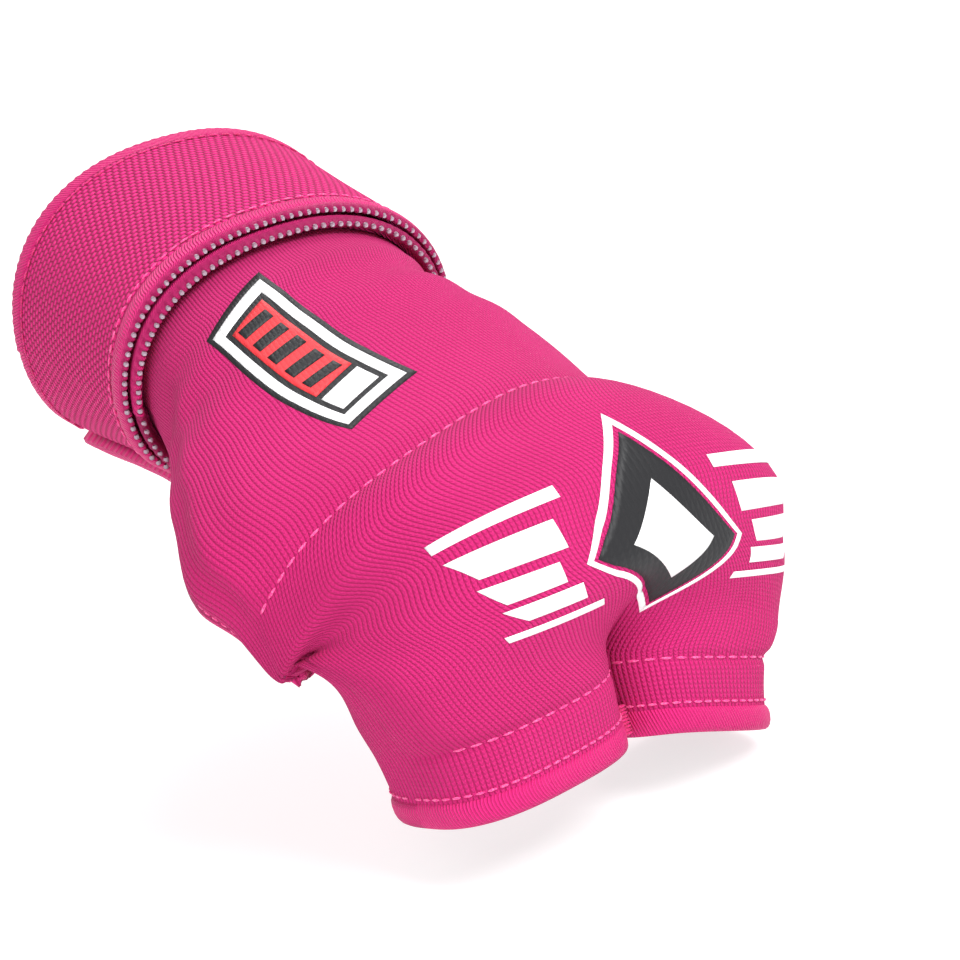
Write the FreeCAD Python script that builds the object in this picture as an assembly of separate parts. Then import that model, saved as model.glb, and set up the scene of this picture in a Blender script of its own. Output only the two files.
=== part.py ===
import FreeCAD, Part
import math
import os

# Hand wrap for a left hand, closed to a fist.  Units are millimetres.
# X runs from the wrist opening towards the fingers, -Y is the thumb side,
# +Z is the back of the hand.

# ---- driving dimensions -----------------------------------------------------
STRAP_WIDTH = 51.0          # elastic strap, edge to edge
PAD_START = 101.0           # sewn line where the padded knuckle zone begins
TUBE_START = 126.0          # where the finger tubes leave the knuckle zone
FINGER_EDGE = 152.6         # front edge of the finger openings
LOWER_SEAM = 138.8          # sewn line across the front of the padding
BINDING_WIDTH = 4.8         # folded tape round the finger openings
KNIT = 1.6                  # thickness of the knitted cloth
JOIN = 0.12                 # air between two sewn layers
SPLIT_Y = 5.0               # line between the two finger pairs, across the hand
EXPONENT = 2.25             # roundness of the cross-sections
SKIN = 0.4                  # from the inner profile to the inside of the knit

INNER_TURN = (1.6, 3.3)     # first turn of the strap, inside and outside
OUTER_TURN = (3.9, 5.8)     # second turn of the strap
BINDING_SWELL = 0.4         # how far an edge tape stands over its strap
EDGE_TAPE = 3.6             # width of the tape on the strap edges
INNER_LEAD = 2.6            # the first turn shows this far past the second

TURN_FROM, TURN_TO = -0.075, 0.655      # second turn, as a share of the way round
TAIL_FROM, TAIL_BREAK = 0.667, 0.785    # root of the strap tail
TAIL_ON, TAIL_TO = 0.799, 0.905         # free end of the strap tail
TAIL_LIFT = 0.9                         # the tail end rides higher over the hook

HOLE_CENTRE = (90.5, 0.868)  # thumb hole: distance along, share of the way round
HOLE_HALF = (19.5, 0.085)
HOLE_TAPE = 1.9              # radius of the rolled tape round the hole
HOLE_STATIONS = 32

STITCH_RADIUS = 0.28
STITCH_AIR = 0.08            # from a stitch to the cloth it lies on
PAD_SEAM_AIR = 0.55          # the same over the strong bend in front of the pad
FRONT_RIDE = 0.75            # the front edge of the second turn rides over the first
SLIP = 0.45                  # air between the knuckle zone and the finger tubes
RIM_TILT = (-5.7, 3.9)       # lean of the strap's front edge across and upwards
LITTLE_DROP = 13.8           # the little-finger knuckle sits this much lower
FINGER_SLOPE = (0.42, -3.6)  # the ring and little pair ends further along
TUBE_SLOPE = (0.361, -0.18)  # the same where their tube starts
THUMB_BACK = 2.6
THUMB_DROP = (14.0, 111.0, 10.0)  # cloth sags between thumb and first finger: depth, place, reach

# distance, pitch, yaw, roll, half width thumb side, half width little side,
# height to the back, height to the palm
STATIONS = (
    (0.0, 0.0, 0.0, 0.0, 31.0, 27.0, 27.4, 25.6),
    (51.0, 0.0, 0.0, 0.0, 27.3, 29.0, 21.2, 20.3),
    (63.0, 13.7, 11.6, 3.0, 31.5, 26.6, 19.0, 20.0),
    (79.0, 27.3, 23.3, 6.1, 44.0, 38.6, 16.5, 20.5),
    (91.0, 27.3, 23.3, 6.1, 50.0, 45.0, 16.0, 21.0),
    (99.0, 28.0, 23.3, 6.1, 48.0, 46.2, 16.5, 20.5),
    (106.0, 33.7, 23.3, 6.1, 43.5, 47.2, 19.9, 17.0),
    (112.7, 54.0, 23.3, 4.6, 41.0, 48.6, 19.9, 8.5),
    (119.3, 74.3, 23.3, 3.1, 40.5, 48.6, 19.9, 10.0),
    (132.0, 80.7, 23.3, 3.1, 37.5, 42.5, 16.0, 13.0),
    (141.0, 80.7, 23.3, 3.1, 34.5, 36.0, 14.4, 13.0),
    (152.6, 80.7, 23.3, 3.1, 33.0, 33.5, 13.4, 13.0),
)


# ---- smooth table lookup ----------------------------------------------------
def slopes(column):
    """Slopes of a smooth curve through one column that never overshoots."""
    xs = [row[0] for row in STATIONS]
    ys = [row[column] for row in STATIONS]
    rise = [(ys[i + 1] - ys[i]) / (xs[i + 1] - xs[i]) for i in range(len(xs) - 1)]
    result = [rise[0]]
    for before, after in zip(rise[:-1], rise[1:]):
        if before * after <= 0.0:
            result.append(0.0)
        else:
            result.append(2.0 * before * after / (before + after))
    result.append(rise[-1])
    return result


SLOPES = [slopes(column) for column in range(8)]


def lookup(s, column):
    """Value of one column of the station table at distance s."""
    s = min(max(s, STATIONS[0][0]), STATIONS[-1][0])
    i = 0
    while i < len(STATIONS) - 2 and s > STATIONS[i + 1][0]:
        i += 1
    left, right = STATIONS[i], STATIONS[i + 1]
    step = right[0] - left[0]
    u = (s - left[0]) / step
    keep = (1.0 + 2.0 * u) * (1.0 - u) ** 2
    take = u * u * (3.0 - 2.0 * u)
    lean_left = u * (1.0 - u) ** 2 * step * SLOPES[column][i]
    lean_right = -u * u * (1.0 - u) * step * SLOPES[column][i + 1]
    return keep * left[column] + take * right[column] + lean_left + lean_right


def ramp(value, start, end):
    """0 before start, 1 after end, smooth between."""
    u = min(max((value - start) / (end - start), 0.0), 1.0)
    return u * u * (3.0 - 2.0 * u)


# ---- the spine of the wrap --------------------------------------------------
def thumb_sag(s, y):
    """How far the cloth sags beside the thumb hole."""
    reach = math.exp(-((s - THUMB_DROP[1]) / THUMB_DROP[2]) ** 2)
    return THUMB_DROP[0] * reach * (min(y, 0.0) / 45.0) ** 6


def frame(s):
    """Forward, sideways and upward directions of the section at distance s."""
    pitch = math.radians(lookup(s, 1))
    yaw = math.radians(lookup(s, 2))
    roll = math.radians(lookup(s, 3))
    forward = FreeCAD.Vector(math.cos(pitch) * math.cos(yaw),
                             math.cos(pitch) * math.sin(yaw), -math.sin(pitch))
    level = FreeCAD.Vector(-math.sin(yaw), math.cos(yaw), 0.0)
    upright = FreeCAD.Vector(math.sin(pitch) * math.cos(yaw),
                             math.sin(pitch) * math.sin(yaw), math.cos(pitch))
    side = level * math.cos(roll) + upright * math.sin(roll)
    up = upright * math.cos(roll) - level * math.sin(roll)
    return forward, side, up


SPINE_STEP = 0.5


def build_spine():
    """Centre line, found by walking along the forward directions."""
    centre = FreeCAD.Vector(0.0, 0.0, 0.0)
    spine = [centre]
    for i in range(int(FINGER_EDGE / SPINE_STEP) + 2):
        forward = frame((i + 0.5) * SPINE_STEP)[0]
        centre = centre + forward * SPINE_STEP
        spine.append(centre)
    return spine


SPINE = build_spine()


def centre_at(s):
    """Centre of the section at distance s."""
    place = max(s, 0.0) / SPINE_STEP
    i = min(int(place), len(SPINE) - 2)
    u = place - i
    return SPINE[i] * (1.0 - u) + SPINE[i + 1] * u


def rounded(value):
    """Turns a sine or cosine into the coordinate of a squarish oval."""
    return math.copysign(abs(value) ** (2.0 / EXPONENT), value)


def point(s, v, off):
    """Point at distance s, share v of the way round, off outside the profile."""
    forward, side, up = frame(s)
    angle = 2.0 * math.pi * v
    across = rounded(-math.cos(angle))
    height = rounded(math.sin(angle))
    half = lookup(s, 4) if across < 0.0 else lookup(s, 5)
    tall = lookup(s, 6) if height > 0.0 else lookup(s, 7)
    y = (half + off) * across
    z = (tall + off) * height
    hand = ramp(s, STRAP_WIDTH + 8.0, STRAP_WIDTH + 48.0)
    fist = ramp(s, 100.0, 113.5)
    little = (max(y, 0.0) / 40.0) ** 2
    thumb = (min(y, 0.0) / 40.0) ** 2
    slope = FINGER_SLOPE[0] * y + FINGER_SLOPE[1]
    ahead = 0.5 * (slope + math.sqrt(slope * slope + 4.0)) * fist
    rim = min(s / STRAP_WIDTH, 1.0) * (1.0 - ramp(s, STRAP_WIDTH + 3.0, STRAP_WIDTH + 25.0))
    ahead += rim * (RIM_TILT[0] * y / 35.0 + RIM_TILT[1] * z / 30.0)
    z -= hand * LITTLE_DROP * little * (1.0 - fist)
    z -= fist * THUMB_BACK * thumb + thumb_sag(s, y)
    return centre_at(s) + side * y + up * z + forward * ahead


# ---- solids -----------------------------------------------------------------
def spread(start, end, step):
    """Evenly spaced values from start to end, no further apart than step."""
    count = max(int(math.ceil(abs(end - start) / step)), 3)
    return [start + (end - start) * i / count for i in range(count + 1)]


def sheet_face(ss, vs, off):
    """Curved face through a grid of points; off is a number or a function."""
    height = off if callable(off) else (lambda s, v: off)
    grid = [[point(s, v, height(s, v)) for v in vs] for s in ss]
    surface = Part.BSplineSurface()
    surface.interpolate(grid)
    return surface.toShape()


def matching_edge(face, start, end):
    """Edge of a face that runs between two corner points."""
    for edge in face.Edges:
        ends = [vertex.Point for vertex in edge.Vertexes]
        near = ends[0].distanceToPoint(start) + ends[-1].distanceToPoint(end)
        turned = ends[0].distanceToPoint(end) + ends[-1].distanceToPoint(start)
        if min(near, turned) < 0.01:
            return edge
    raise ValueError("edge not found")


def slab(s_range, v_range, inner, outer, s_step=4.0, v_step=0.02):
    """Closed solid between two offset sheets over one patch of the wrap."""
    ss = spread(s_range[0], s_range[1], s_step)
    vs = spread(v_range[0], v_range[1], v_step)
    low = sheet_face(ss, vs, inner)
    high = sheet_face(ss, vs, outer)
    faces = [low, high]
    corners = ((0, 0, 0, -1), (0, -1, -1, -1), (-1, -1, -1, 0), (-1, 0, 0, 0))
    for i, j, k, m in corners:
        edges = []
        for face, off in ((low, inner), (high, outer)):
            height = off if callable(off) else (lambda s, v, off=off: off)
            start = point(ss[i], vs[j], height(ss[i], vs[j]))
            end = point(ss[k], vs[m], height(ss[k], vs[m]))
            edges.append(matching_edge(face, start, end))
        faces.append(wall(edges[0], edges[1]))
    return closed_solid(faces)


def wall(first, second):
    """Ruled strip between two edges, run the same way along both."""
    straight = Part.makeRuledSurface(first, second)
    turned = Part.makeRuledSurface(first, second.reversed())
    return straight if straight.Area <= turned.Area else turned


def closed_solid(faces):
    """Sews faces that share their edges into one solid."""
    shell = Part.makeShell(faces)
    shell.sewShape()
    solid = Part.makeSolid(shell)
    if solid.Volume < 0.0:
        solid.reverse()
    return solid


def closed_wire(points):
    """Smooth closed wire through points."""
    curve = Part.BSplineCurve()
    curve.interpolate(points, PeriodicFlag=True)
    return Part.Wire([curve.toShape()])


def ring(s_range, inner, outer, s_step=5.0):
    """Closed band all the way round the wrap."""
    solids = []
    for off in (outer, inner):
        wires = []
        for s in spread(s_range[0], s_range[1], s_step):
            wires.append(closed_wire([point(s, i / 60.0, off) for i in range(60)]))
        solids.append(Part.makeLoft(wires, True, False))
    return solids[0].cut(solids[1])


def tube_point(pair, s, v, off):
    """Point of a finger tube; off is measured from its outer face."""
    forward, side, up = frame(s)
    angle = 2.0 * math.pi * v
    outer = SKIN + KNIT
    if pair == "index_middle":
        edges = (-(lookup(s, 4) + outer), SPLIT_Y - JOIN)
    else:
        edges = (SPLIT_Y + JOIN, lookup(s, 5) + outer)
    middle = (edges[0] + edges[1]) / 2.0
    half = (edges[1] - edges[0]) / 2.0 + off
    y = middle + half * rounded(-math.cos(angle))
    sine = rounded(math.sin(angle))
    tall = lookup(s, 6) if sine > 0.0 else lookup(s, 7)
    z = (tall + outer + off) * sine
    ahead = 0.0
    if pair == "ring_little":
        turned = ramp(s, TUBE_START, FINGER_EDGE - BINDING_WIDTH)
        lean = TUBE_SLOPE[0] + (FINGER_SLOPE[0] - TUBE_SLOPE[0]) * turned
        shift = TUBE_SLOPE[1] + (FINGER_SLOPE[1] - TUBE_SLOPE[1]) * turned
        ahead = lean * y + shift
    z -= THUMB_BACK * (min(y, 0.0) / 40.0) ** 2 + thumb_sag(s, y)
    return centre_at(s) + side * y + up * z + forward * ahead


def tube(pair, s_range, inner, outer):
    """Band of cloth round one pair of fingers."""
    solids = []
    for off in (outer, inner):
        wires = []
        for s in spread(s_range[0], s_range[1], 4.0):
            wires.append(closed_wire([tube_point(pair, s, i / 48.0, off) for i in range(48)]))
        solids.append(Part.makeLoft(wires, True, False))
    return solids[0].cut(solids[1])


def stitch(start, end):
    """One short straight stitch."""
    along = end - start
    return Part.makeCylinder(STITCH_RADIUS, along.Length, start, along)


def stitch_row(places, length):
    """Stitches centred on points of a path given as (point, next point) pairs."""
    solids = []
    for here, ahead in places:
        along = ahead - here
        along.normalize()
        solids.append(stitch(here - along * (length / 2.0), here + along * (length / 2.0)))
    return Part.makeCompound(solids)


def row_across(s, v_from, v_to, off, count, length):
    """Stitches in a line across the wrap at one distance."""
    places = []
    for i in range(count):
        v = v_from + (v_to - v_from) * (i + 0.5) / count
        places.append((point(s, v, off), point(s, v + 0.002, off)))
    return stitch_row(places, length)


def row_around_tube(pair, s, v_from, v_to, off, count, length):
    """Stitches in a line round a finger tube."""
    places = []
    for i in range(count):
        v = v_from + (v_to - v_from) * (i + 0.5) / count
        places.append((tube_point(pair, s, v, off), tube_point(pair, s, v + 0.004, off)))
    return stitch_row(places, length)


# ---- thumb hole -------------------------------------------------------------
def hole_point(turn, off, grow=0.0):
    """Point on the edge of the thumb hole; turn runs from 0 to 1."""
    angle = 2.0 * math.pi * turn
    s = HOLE_CENTRE[0] + (HOLE_HALF[0] + grow) * math.cos(angle)
    share = grow / (2.0 * math.pi * 33.0)
    v = HOLE_CENTRE[1] + (HOLE_HALF[1] + share) * math.sin(angle)
    return point(s, v, off)


def hole_roll(radius):
    """Rolled ring that follows the edge of the thumb hole."""
    middle = SKIN + KNIT / 2.0
    circles = []
    for i in range(HOLE_STATIONS):
        here = hole_point(i / HOLE_STATIONS, middle)
        before = hole_point((i - 0.5) / HOLE_STATIONS, middle)
        after = hole_point((i + 0.5) / HOLE_STATIONS, middle)
        along = after - before
        inward = (hole_centre() - here).normalize()
        outward = along.cross(inward).normalize()
        inward = outward.cross(along).normalize()
        rim = []
        for k in range(12):
            angle = 2.0 * math.pi * k / 12.0
            rim.append(here + inward * (radius * math.cos(angle)) + outward * (radius * math.sin(angle)))
        circles.append(closed_wire(rim))
    return Part.makeLoft(circles, True, False, True)


def hole_centre():
    """Middle of the thumb hole."""
    total = FreeCAD.Vector(0.0, 0.0, 0.0)
    for i in range(HOLE_STATIONS):
        total = total + hole_point(i / HOLE_STATIONS, SKIN)
    return total * (1.0 / HOLE_STATIONS)


def open_thumb_hole(panel):
    """Cuts the thumb hole out of a panel and keeps the cloth round it."""
    pieces = panel.cut(hole_roll(HOLE_TAPE + JOIN)).Solids
    return max(pieces, key=lambda solid: solid.Volume)


# ---- sleeve -----------------------------------------------------------------
KNIT_OUT = SKIN + KNIT
SLEEVE_FROM = STRAP_WIDTH + 0.3
BACK_V = (-0.012, 0.491)
PALM_V = (0.509, 0.972)
SEAM_V = (0.4925, 0.5075)
THUMB_SEAM_V = (0.974, 0.986)


def sleeve_cuff():
    return ring((2.0, STRAP_WIDTH), 0.0, INNER_TURN[0] - JOIN)


def back_panel():
    return slab((SLEEVE_FROM, PAD_START - JOIN), BACK_V, SKIN, KNIT_OUT)


def palm_panel():
    return open_thumb_hole(slab((SLEEVE_FROM, PAD_START - JOIN), PALM_V, SKIN, KNIT_OUT))


def side_seam():
    return slab((SLEEVE_FROM, PAD_START - JOIN), SEAM_V, SKIN, KNIT_OUT + 0.3)


def thumb_side_seam():
    return slab((SLEEVE_FROM, PAD_START - JOIN), THUMB_SEAM_V, SKIN, KNIT_OUT + 0.3, v_step=0.004)


def thumb_hole_binding():
    return hole_roll(HOLE_TAPE)


def thumb_binding_stitches():
    places = []
    count = 34
    for i in range(count):
        turn = (i + 0.5) / count
        out = KNIT_OUT + STITCH_RADIUS + STITCH_AIR
        v = HOLE_CENTRE[1] + (HOLE_HALF[1] + 0.016) * math.sin(2.0 * math.pi * turn)
        if v > PALM_V[1] - 0.006:
            continue
        s = HOLE_CENTRE[0] + (HOLE_HALF[0] + 3.0) * math.cos(2.0 * math.pi * turn)
        if s > PAD_START - 1.5:
            continue
        later = turn + 0.004
        v_next = HOLE_CENTRE[1] + (HOLE_HALF[1] + 0.016) * math.sin(2.0 * math.pi * later)
        s_next = HOLE_CENTRE[0] + (HOLE_HALF[0] + 3.0) * math.cos(2.0 * math.pi * later)
        places.append((point(s, v, out), point(s_next, v_next, out)))
    return stitch_row(places, 1.8)


def back_patch():
    return slab((60.5, 88.5), (0.158, 0.234), KNIT_OUT + JOIN, KNIT_OUT + 0.5)


def pad_seam_stitches():
    return row_across(PAD_START - 1.2, 0.02, 0.47, KNIT_OUT + STITCH_RADIUS + PAD_SEAM_AIR, 34, 1.9)


# ---- strap ------------------------------------------------------------------
def band_span(start, end):
    """Woven part of a strap turn, between its two edge tapes."""
    return (start + EDGE_TAPE + JOIN, end - EDGE_TAPE - JOIN)


OUTER_SPAN = (0.2, STRAP_WIDTH)
INNER_SPAN = (OUTER_SPAN[0] + INNER_LEAD, OUTER_SPAN[1] + INNER_LEAD)


def strap_inner_turn():
    return ring(band_span(*INNER_SPAN), INNER_TURN[0], INNER_TURN[1])


def inner_edge_tapes():
    low = INNER_TURN[0]
    high = INNER_TURN[1] + JOIN
    rear = ring((INNER_SPAN[0], INNER_SPAN[0] + EDGE_TAPE), low, high)
    front = slab_ring_front(low + 0.6, high)
    return Part.makeCompound([rear, front])


def slab_ring_front(low, high):
    """Front edge tape of the first turn, clear of the sleeve that leaves it."""
    start = INNER_SPAN[1] - EDGE_TAPE
    rise = 0.9
    return ring((start, INNER_SPAN[1]), low + rise, high + rise)


def strap_outer_turn():
    return slab(band_span(*OUTER_SPAN), (TURN_FROM, TURN_TO), OUTER_TURN[0], OUTER_TURN[1])


def edge_tape(v_range, s_from, lift=0.0):
    low = OUTER_TURN[0] + lift
    high = OUTER_TURN[1] + BINDING_SWELL + lift
    return slab((s_from, s_from + EDGE_TAPE), v_range, low, high, s_step=1.2)


def outer_front_tape():
    return edge_tape((TURN_FROM, TURN_TO), OUTER_SPAN[1] - EDGE_TAPE, FRONT_RIDE)


def outer_rear_tape():
    return edge_tape((TURN_FROM, TURN_TO), OUTER_SPAN[0])


def strap_edge_stitches():
    out = OUTER_TURN[1] + STITCH_RADIUS + STITCH_AIR
    span = band_span(*OUTER_SPAN)
    rows = []
    for s in (span[0] + 1.2, span[1] - 1.2):
        rows.extend(row_across(s, TURN_FROM + 0.01, TURN_TO - 0.01, out, 52, 1.7).Solids)
    return Part.makeCompound(rows)


def strap_anchor_stitches():
    out = INNER_TURN[1] + STITCH_RADIUS + 0.03
    rows = []
    for s in (12.0, 26.0, 40.0):
        rows.extend(row_across(s, 0.02, 0.09, out, 6, 1.8).Solids)
    return Part.makeCompound(rows)


def loop_patch():
    return slab((8.0, 44.0), (0.72, 0.895), INNER_TURN[1] + JOIN, INNER_TURN[1] + 0.42)


# ---- strap tail -------------------------------------------------------------
def tail_lift(s, v):
    return TAIL_LIFT * ramp(v, TAIL_FROM, TAIL_BREAK)


def tail_slab(s_range, v_range, extra=0.0, ride=0.0):
    """Piece of the strap tail, riding up over the hook patch."""
    def low(s, v):
        return OUTER_TURN[0] + ride + tail_lift(s, v)

    def high(s, v):
        return OUTER_TURN[1] + ride + extra + tail_lift(s, v)

    return slab(s_range, v_range, low, high, s_step=3.0)


def tail_root_band():
    return tail_slab(band_span(*OUTER_SPAN), (TAIL_FROM, TAIL_BREAK))


def tail_end_band():
    return tail_slab(band_span(*OUTER_SPAN), (TAIL_ON, TAIL_TO - 0.014))


def tail_tapes(v_range):
    front = (OUTER_SPAN[1] - EDGE_TAPE, OUTER_SPAN[1])
    rear = (OUTER_SPAN[0], OUTER_SPAN[0] + EDGE_TAPE)
    return [tail_slab(front, v_range, BINDING_SWELL, FRONT_RIDE),
            tail_slab(rear, v_range, BINDING_SWELL)]


def tail_root_tapes():
    return Part.makeCompound(tail_tapes((TAIL_FROM, TAIL_BREAK)))


def tail_end_tapes():
    solids = tail_tapes((TAIL_ON, TAIL_TO))
    tip_v = (TAIL_TO - 0.0135, TAIL_TO)
    solids.append(tail_slab(band_span(*OUTER_SPAN), tip_v, BINDING_SWELL))
    return Part.makeCompound(solids)


HOOK_TOP = OUTER_TURN[0] + TAIL_LIFT - JOIN


def hook_patch():
    return slab((9.0, 43.0), (TAIL_ON + 0.008, TAIL_TO - 0.016), HOOK_TOP - 0.5, HOOK_TOP)


def hook_patch_stitches():
    out = OUTER_TURN[1] + TAIL_LIFT + STITCH_RADIUS + STITCH_AIR
    rows = []
    for s in (10.0, 42.0):
        rows.extend(row_across(s, TAIL_ON + 0.012, TAIL_TO - 0.02, out, 8, 1.8).Solids)
    return Part.makeCompound(rows)


# ---- knuckle zone -----------------------------------------------------------
ZONE = (PAD_START + JOIN, TUBE_START - JOIN)
PAD_V = (0.045, 0.455)
PAD_SPAN = (PAD_START + 2.0, TUBE_START - 1.5)
GEL = 3.4
FOAM = 2.0
LINER = 0.8


def swell(s, v):
    """Cushion shape: fullest in the middle of the pad, nothing at its edges."""
    along = math.sin(math.pi * min(max((s - ZONE[0]) / (ZONE[1] - ZONE[0]), 0.0), 1.0))
    across = math.sin(math.pi * min(max((v - 0.02) / 0.46, 0.0), 1.0))
    return 1.6 * along * across


def swollen(off):
    return lambda s, v: off + swell(s, v)


def knuckle_cover():
    return slab(ZONE, BACK_V, swollen(SKIN), swollen(KNIT_OUT), s_step=2.0)


def pad_layer(top, thick, inset=0.0):
    """One layer of the padding, below the knuckle cover."""
    s_range = (PAD_SPAN[0] + inset, PAD_SPAN[1] - inset)
    v_range = (PAD_V[0] + inset * 0.004, PAD_V[1] - inset * 0.004)
    return slab(s_range, v_range, swollen(top - thick), swollen(top), s_step=2.0)


GEL_TOP = SKIN - JOIN
FOAM_TOP = GEL_TOP - GEL - JOIN
LINER_TOP = FOAM_TOP - FOAM - JOIN


def gel_pad():
    return pad_layer(GEL_TOP, GEL)


def foam_backing():
    return pad_layer(FOAM_TOP, FOAM)


def pocket_liner():
    return pad_layer(LINER_TOP, LINER, -0.6)


def palm_crease_panel():
    v_range = (BACK_V[1] + 0.0015, THUMB_SEAM_V[1])
    return open_thumb_hole(slab(ZONE, v_range, SKIN, KNIT_OUT, s_step=2.0))


def knuckle_print():
    out = KNIT_OUT + JOIN
    return slab((110.5, 122.5), (0.17, 0.455), swollen(out), swollen(out + 0.3), s_step=2.0)


# ---- finger tubes -----------------------------------------------------------
TUBE_SPAN = (TUBE_START + SLIP, FINGER_EDGE - BINDING_WIDTH - JOIN)
EDGE_SPAN = (FINGER_EDGE - BINDING_WIDTH, FINGER_EDGE)
PAIRS = ("index_middle", "ring_little")


def index_middle_tube():
    return tube("index_middle", TUBE_SPAN, -KNIT, 0.0)


def ring_little_tube():
    return tube("ring_little", TUBE_SPAN, -KNIT, 0.0)


def index_middle_binding():
    return tube("index_middle", EDGE_SPAN, -KNIT - 0.4, 0.0)


def ring_little_binding():
    return tube("ring_little", EDGE_SPAN, -KNIT - 0.4, 0.0)


def divider_bar_tack():
    """Dense stitching that locks the two tubes together at the fork."""
    forward, side, up = frame(EDGE_SPAN[0])
    middle = centre_at(EDGE_SPAN[0] - 3.0) + side * SPLIT_Y
    solids = []
    for z, sign in ((lookup(EDGE_SPAN[0], 6) - 2.2, 1.0), (-lookup(EDGE_SPAN[0], 7) + 2.2, -1.0)):
        for i in range(7):
            spot = middle + up * z + forward * (i * 0.75 - 2.2)
            solids.append(stitch(spot - side * 1.9, spot + side * 1.9))
    return Part.makeCompound(solids)


def finger_binding_stitches():
    out = STITCH_RADIUS + STITCH_AIR
    rows = []
    for pair in PAIRS:
        row = row_around_tube(pair, EDGE_SPAN[0] - 1.0, 0.03, 0.47, out, 20, 1.5)
        rows.extend(row.Solids)
    return Part.makeCompound(rows)


def lower_pad_stitches():
    out = STITCH_RADIUS + STITCH_AIR
    rows = []
    for pair in PAIRS:
        row = row_around_tube(pair, LOWER_SEAM, 0.03, 0.47, out, 20, 1.5)
        rows.extend(row.Solids)
    return Part.makeCompound(rows)


PARTS = (
    sleeve_cuff, back_panel, palm_panel, side_seam, thumb_side_seam, thumb_hole_binding,
    thumb_binding_stitches, back_patch, pad_seam_stitches, strap_inner_turn, inner_edge_tapes,
    strap_outer_turn, outer_front_tape, outer_rear_tape, strap_edge_stitches,
    strap_anchor_stitches, loop_patch, tail_root_band, tail_root_tapes, tail_end_band,
    tail_end_tapes, hook_patch, hook_patch_stitches, knuckle_cover, gel_pad, foam_backing,
    pocket_liner, palm_crease_panel, knuckle_print, index_middle_tube, ring_little_tube,
    index_middle_binding, ring_little_binding, divider_bar_tack, finger_binding_stitches,
    lower_pad_stitches,
)


os.makedirs("parts", exist_ok=True)
for build in PARTS:
    shape = build()
    if not shape.isValid():
        raise ValueError("%s is not a sound solid" % build.__name__)
    shape.exportStep("parts/%s.step" % build.__name__)
    print("%-24s %3d solids, %9.1f cubic millimetres" % (
        build.__name__, len(shape.Solids), shape.Volume))
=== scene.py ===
import math

import bmesh
import bpy
import numpy as np
from mathutils import Matrix, Vector


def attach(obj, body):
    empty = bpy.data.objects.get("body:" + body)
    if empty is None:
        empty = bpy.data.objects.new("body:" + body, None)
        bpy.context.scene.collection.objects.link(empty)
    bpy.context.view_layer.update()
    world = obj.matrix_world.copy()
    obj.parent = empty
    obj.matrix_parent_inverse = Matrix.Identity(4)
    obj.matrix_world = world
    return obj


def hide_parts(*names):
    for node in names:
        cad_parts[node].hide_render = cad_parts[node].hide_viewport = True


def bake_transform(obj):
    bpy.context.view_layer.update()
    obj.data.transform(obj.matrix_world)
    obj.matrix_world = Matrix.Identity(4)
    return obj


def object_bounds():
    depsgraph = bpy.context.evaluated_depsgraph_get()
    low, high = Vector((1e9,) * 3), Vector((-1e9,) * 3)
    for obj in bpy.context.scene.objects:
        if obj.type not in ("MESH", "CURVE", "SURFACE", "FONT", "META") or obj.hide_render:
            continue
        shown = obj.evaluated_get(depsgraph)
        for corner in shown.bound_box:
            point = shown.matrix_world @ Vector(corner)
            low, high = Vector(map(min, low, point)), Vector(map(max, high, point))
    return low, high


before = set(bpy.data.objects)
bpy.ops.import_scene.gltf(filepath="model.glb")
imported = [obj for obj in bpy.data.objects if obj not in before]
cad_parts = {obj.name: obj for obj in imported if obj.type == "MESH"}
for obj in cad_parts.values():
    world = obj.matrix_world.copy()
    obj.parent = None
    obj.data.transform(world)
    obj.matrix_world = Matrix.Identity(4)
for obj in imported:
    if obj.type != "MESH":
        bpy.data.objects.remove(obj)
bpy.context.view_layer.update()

# Lengths below are millimetres until a mesh is made; MM turns them into metres.
MM = 0.001

# ---- shape of the wrap ----
STRAP_WIDTH = 51.0
PAD_START = 101.0
FINGER_EDGE = 152.6
LOWER_SEAM = 138.8
SPLIT_Y = 5.0
EXPONENT = 2.25
KNIT = 1.6
SKIN = 0.4
KNIT_OUT = SKIN + KNIT
PAD_SWELL = 1.9
SEAM_SINK = 0.7  # how deep the sewn line behind the padding lies
LOWER_SINK = 0.6
FAN_FOLDS = 0.6  # height of the fine folds that fan out by the thumb
THUMB_HOLLOW = 2.2
THUMB_CREASE = 4.2
WRIST_RIPPLE = 0.35
KNIT_DRIFT = 0.25
RIM_TILT = (-5.7, 3.9)
LITTLE_DROP = 13.8
FINGER_SLOPE = (0.42, -3.6)
THUMB_BACK = 2.6
THUMB_PRESS = 2.3  # the strap is drawn flatter below the thumb
THUMB_DROP = (24.0, 112.0, 8.0)
INNER_TURN = (1.6, 3.3)
OUTER_TURN = (3.9, 5.8)
EDGE_TAPE = 3.6
INNER_LEAD = 2.6
TURN_TO = 0.655
TAIL_FROM, TAIL_BREAK = 0.667, 0.785
TAIL_ON, TAIL_TO = 0.799, 0.887
TAIL_LIFT = 0.9
TURN_START = -0.098  # where the second turn comes out from under the tail
TURN_DIP = 0.5
HOLE_CENTRE = (92.5, 0.868)
HOLE_HALF = (21.5, 0.088)
HOLE_GIRTH = 2 * math.pi * 33.0  # way round the sleeve at the thumb hole
HOLE_MARGIN = 0.3  # the cloth is cut this much smaller, so that the tape covers its edge
OUTER_SPAN = (0.2, STRAP_WIDTH)
INNER_SPAN = (OUTER_SPAN[0] + INNER_LEAD, OUTER_SPAN[1] + INNER_LEAD)
PAD_SPAN = (PAD_START + 2.0, 124.5)
PAD_V = (0.045, 0.455)
PAD_INSET = 0.004  # share of the way round for each millimetre of inset

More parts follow.
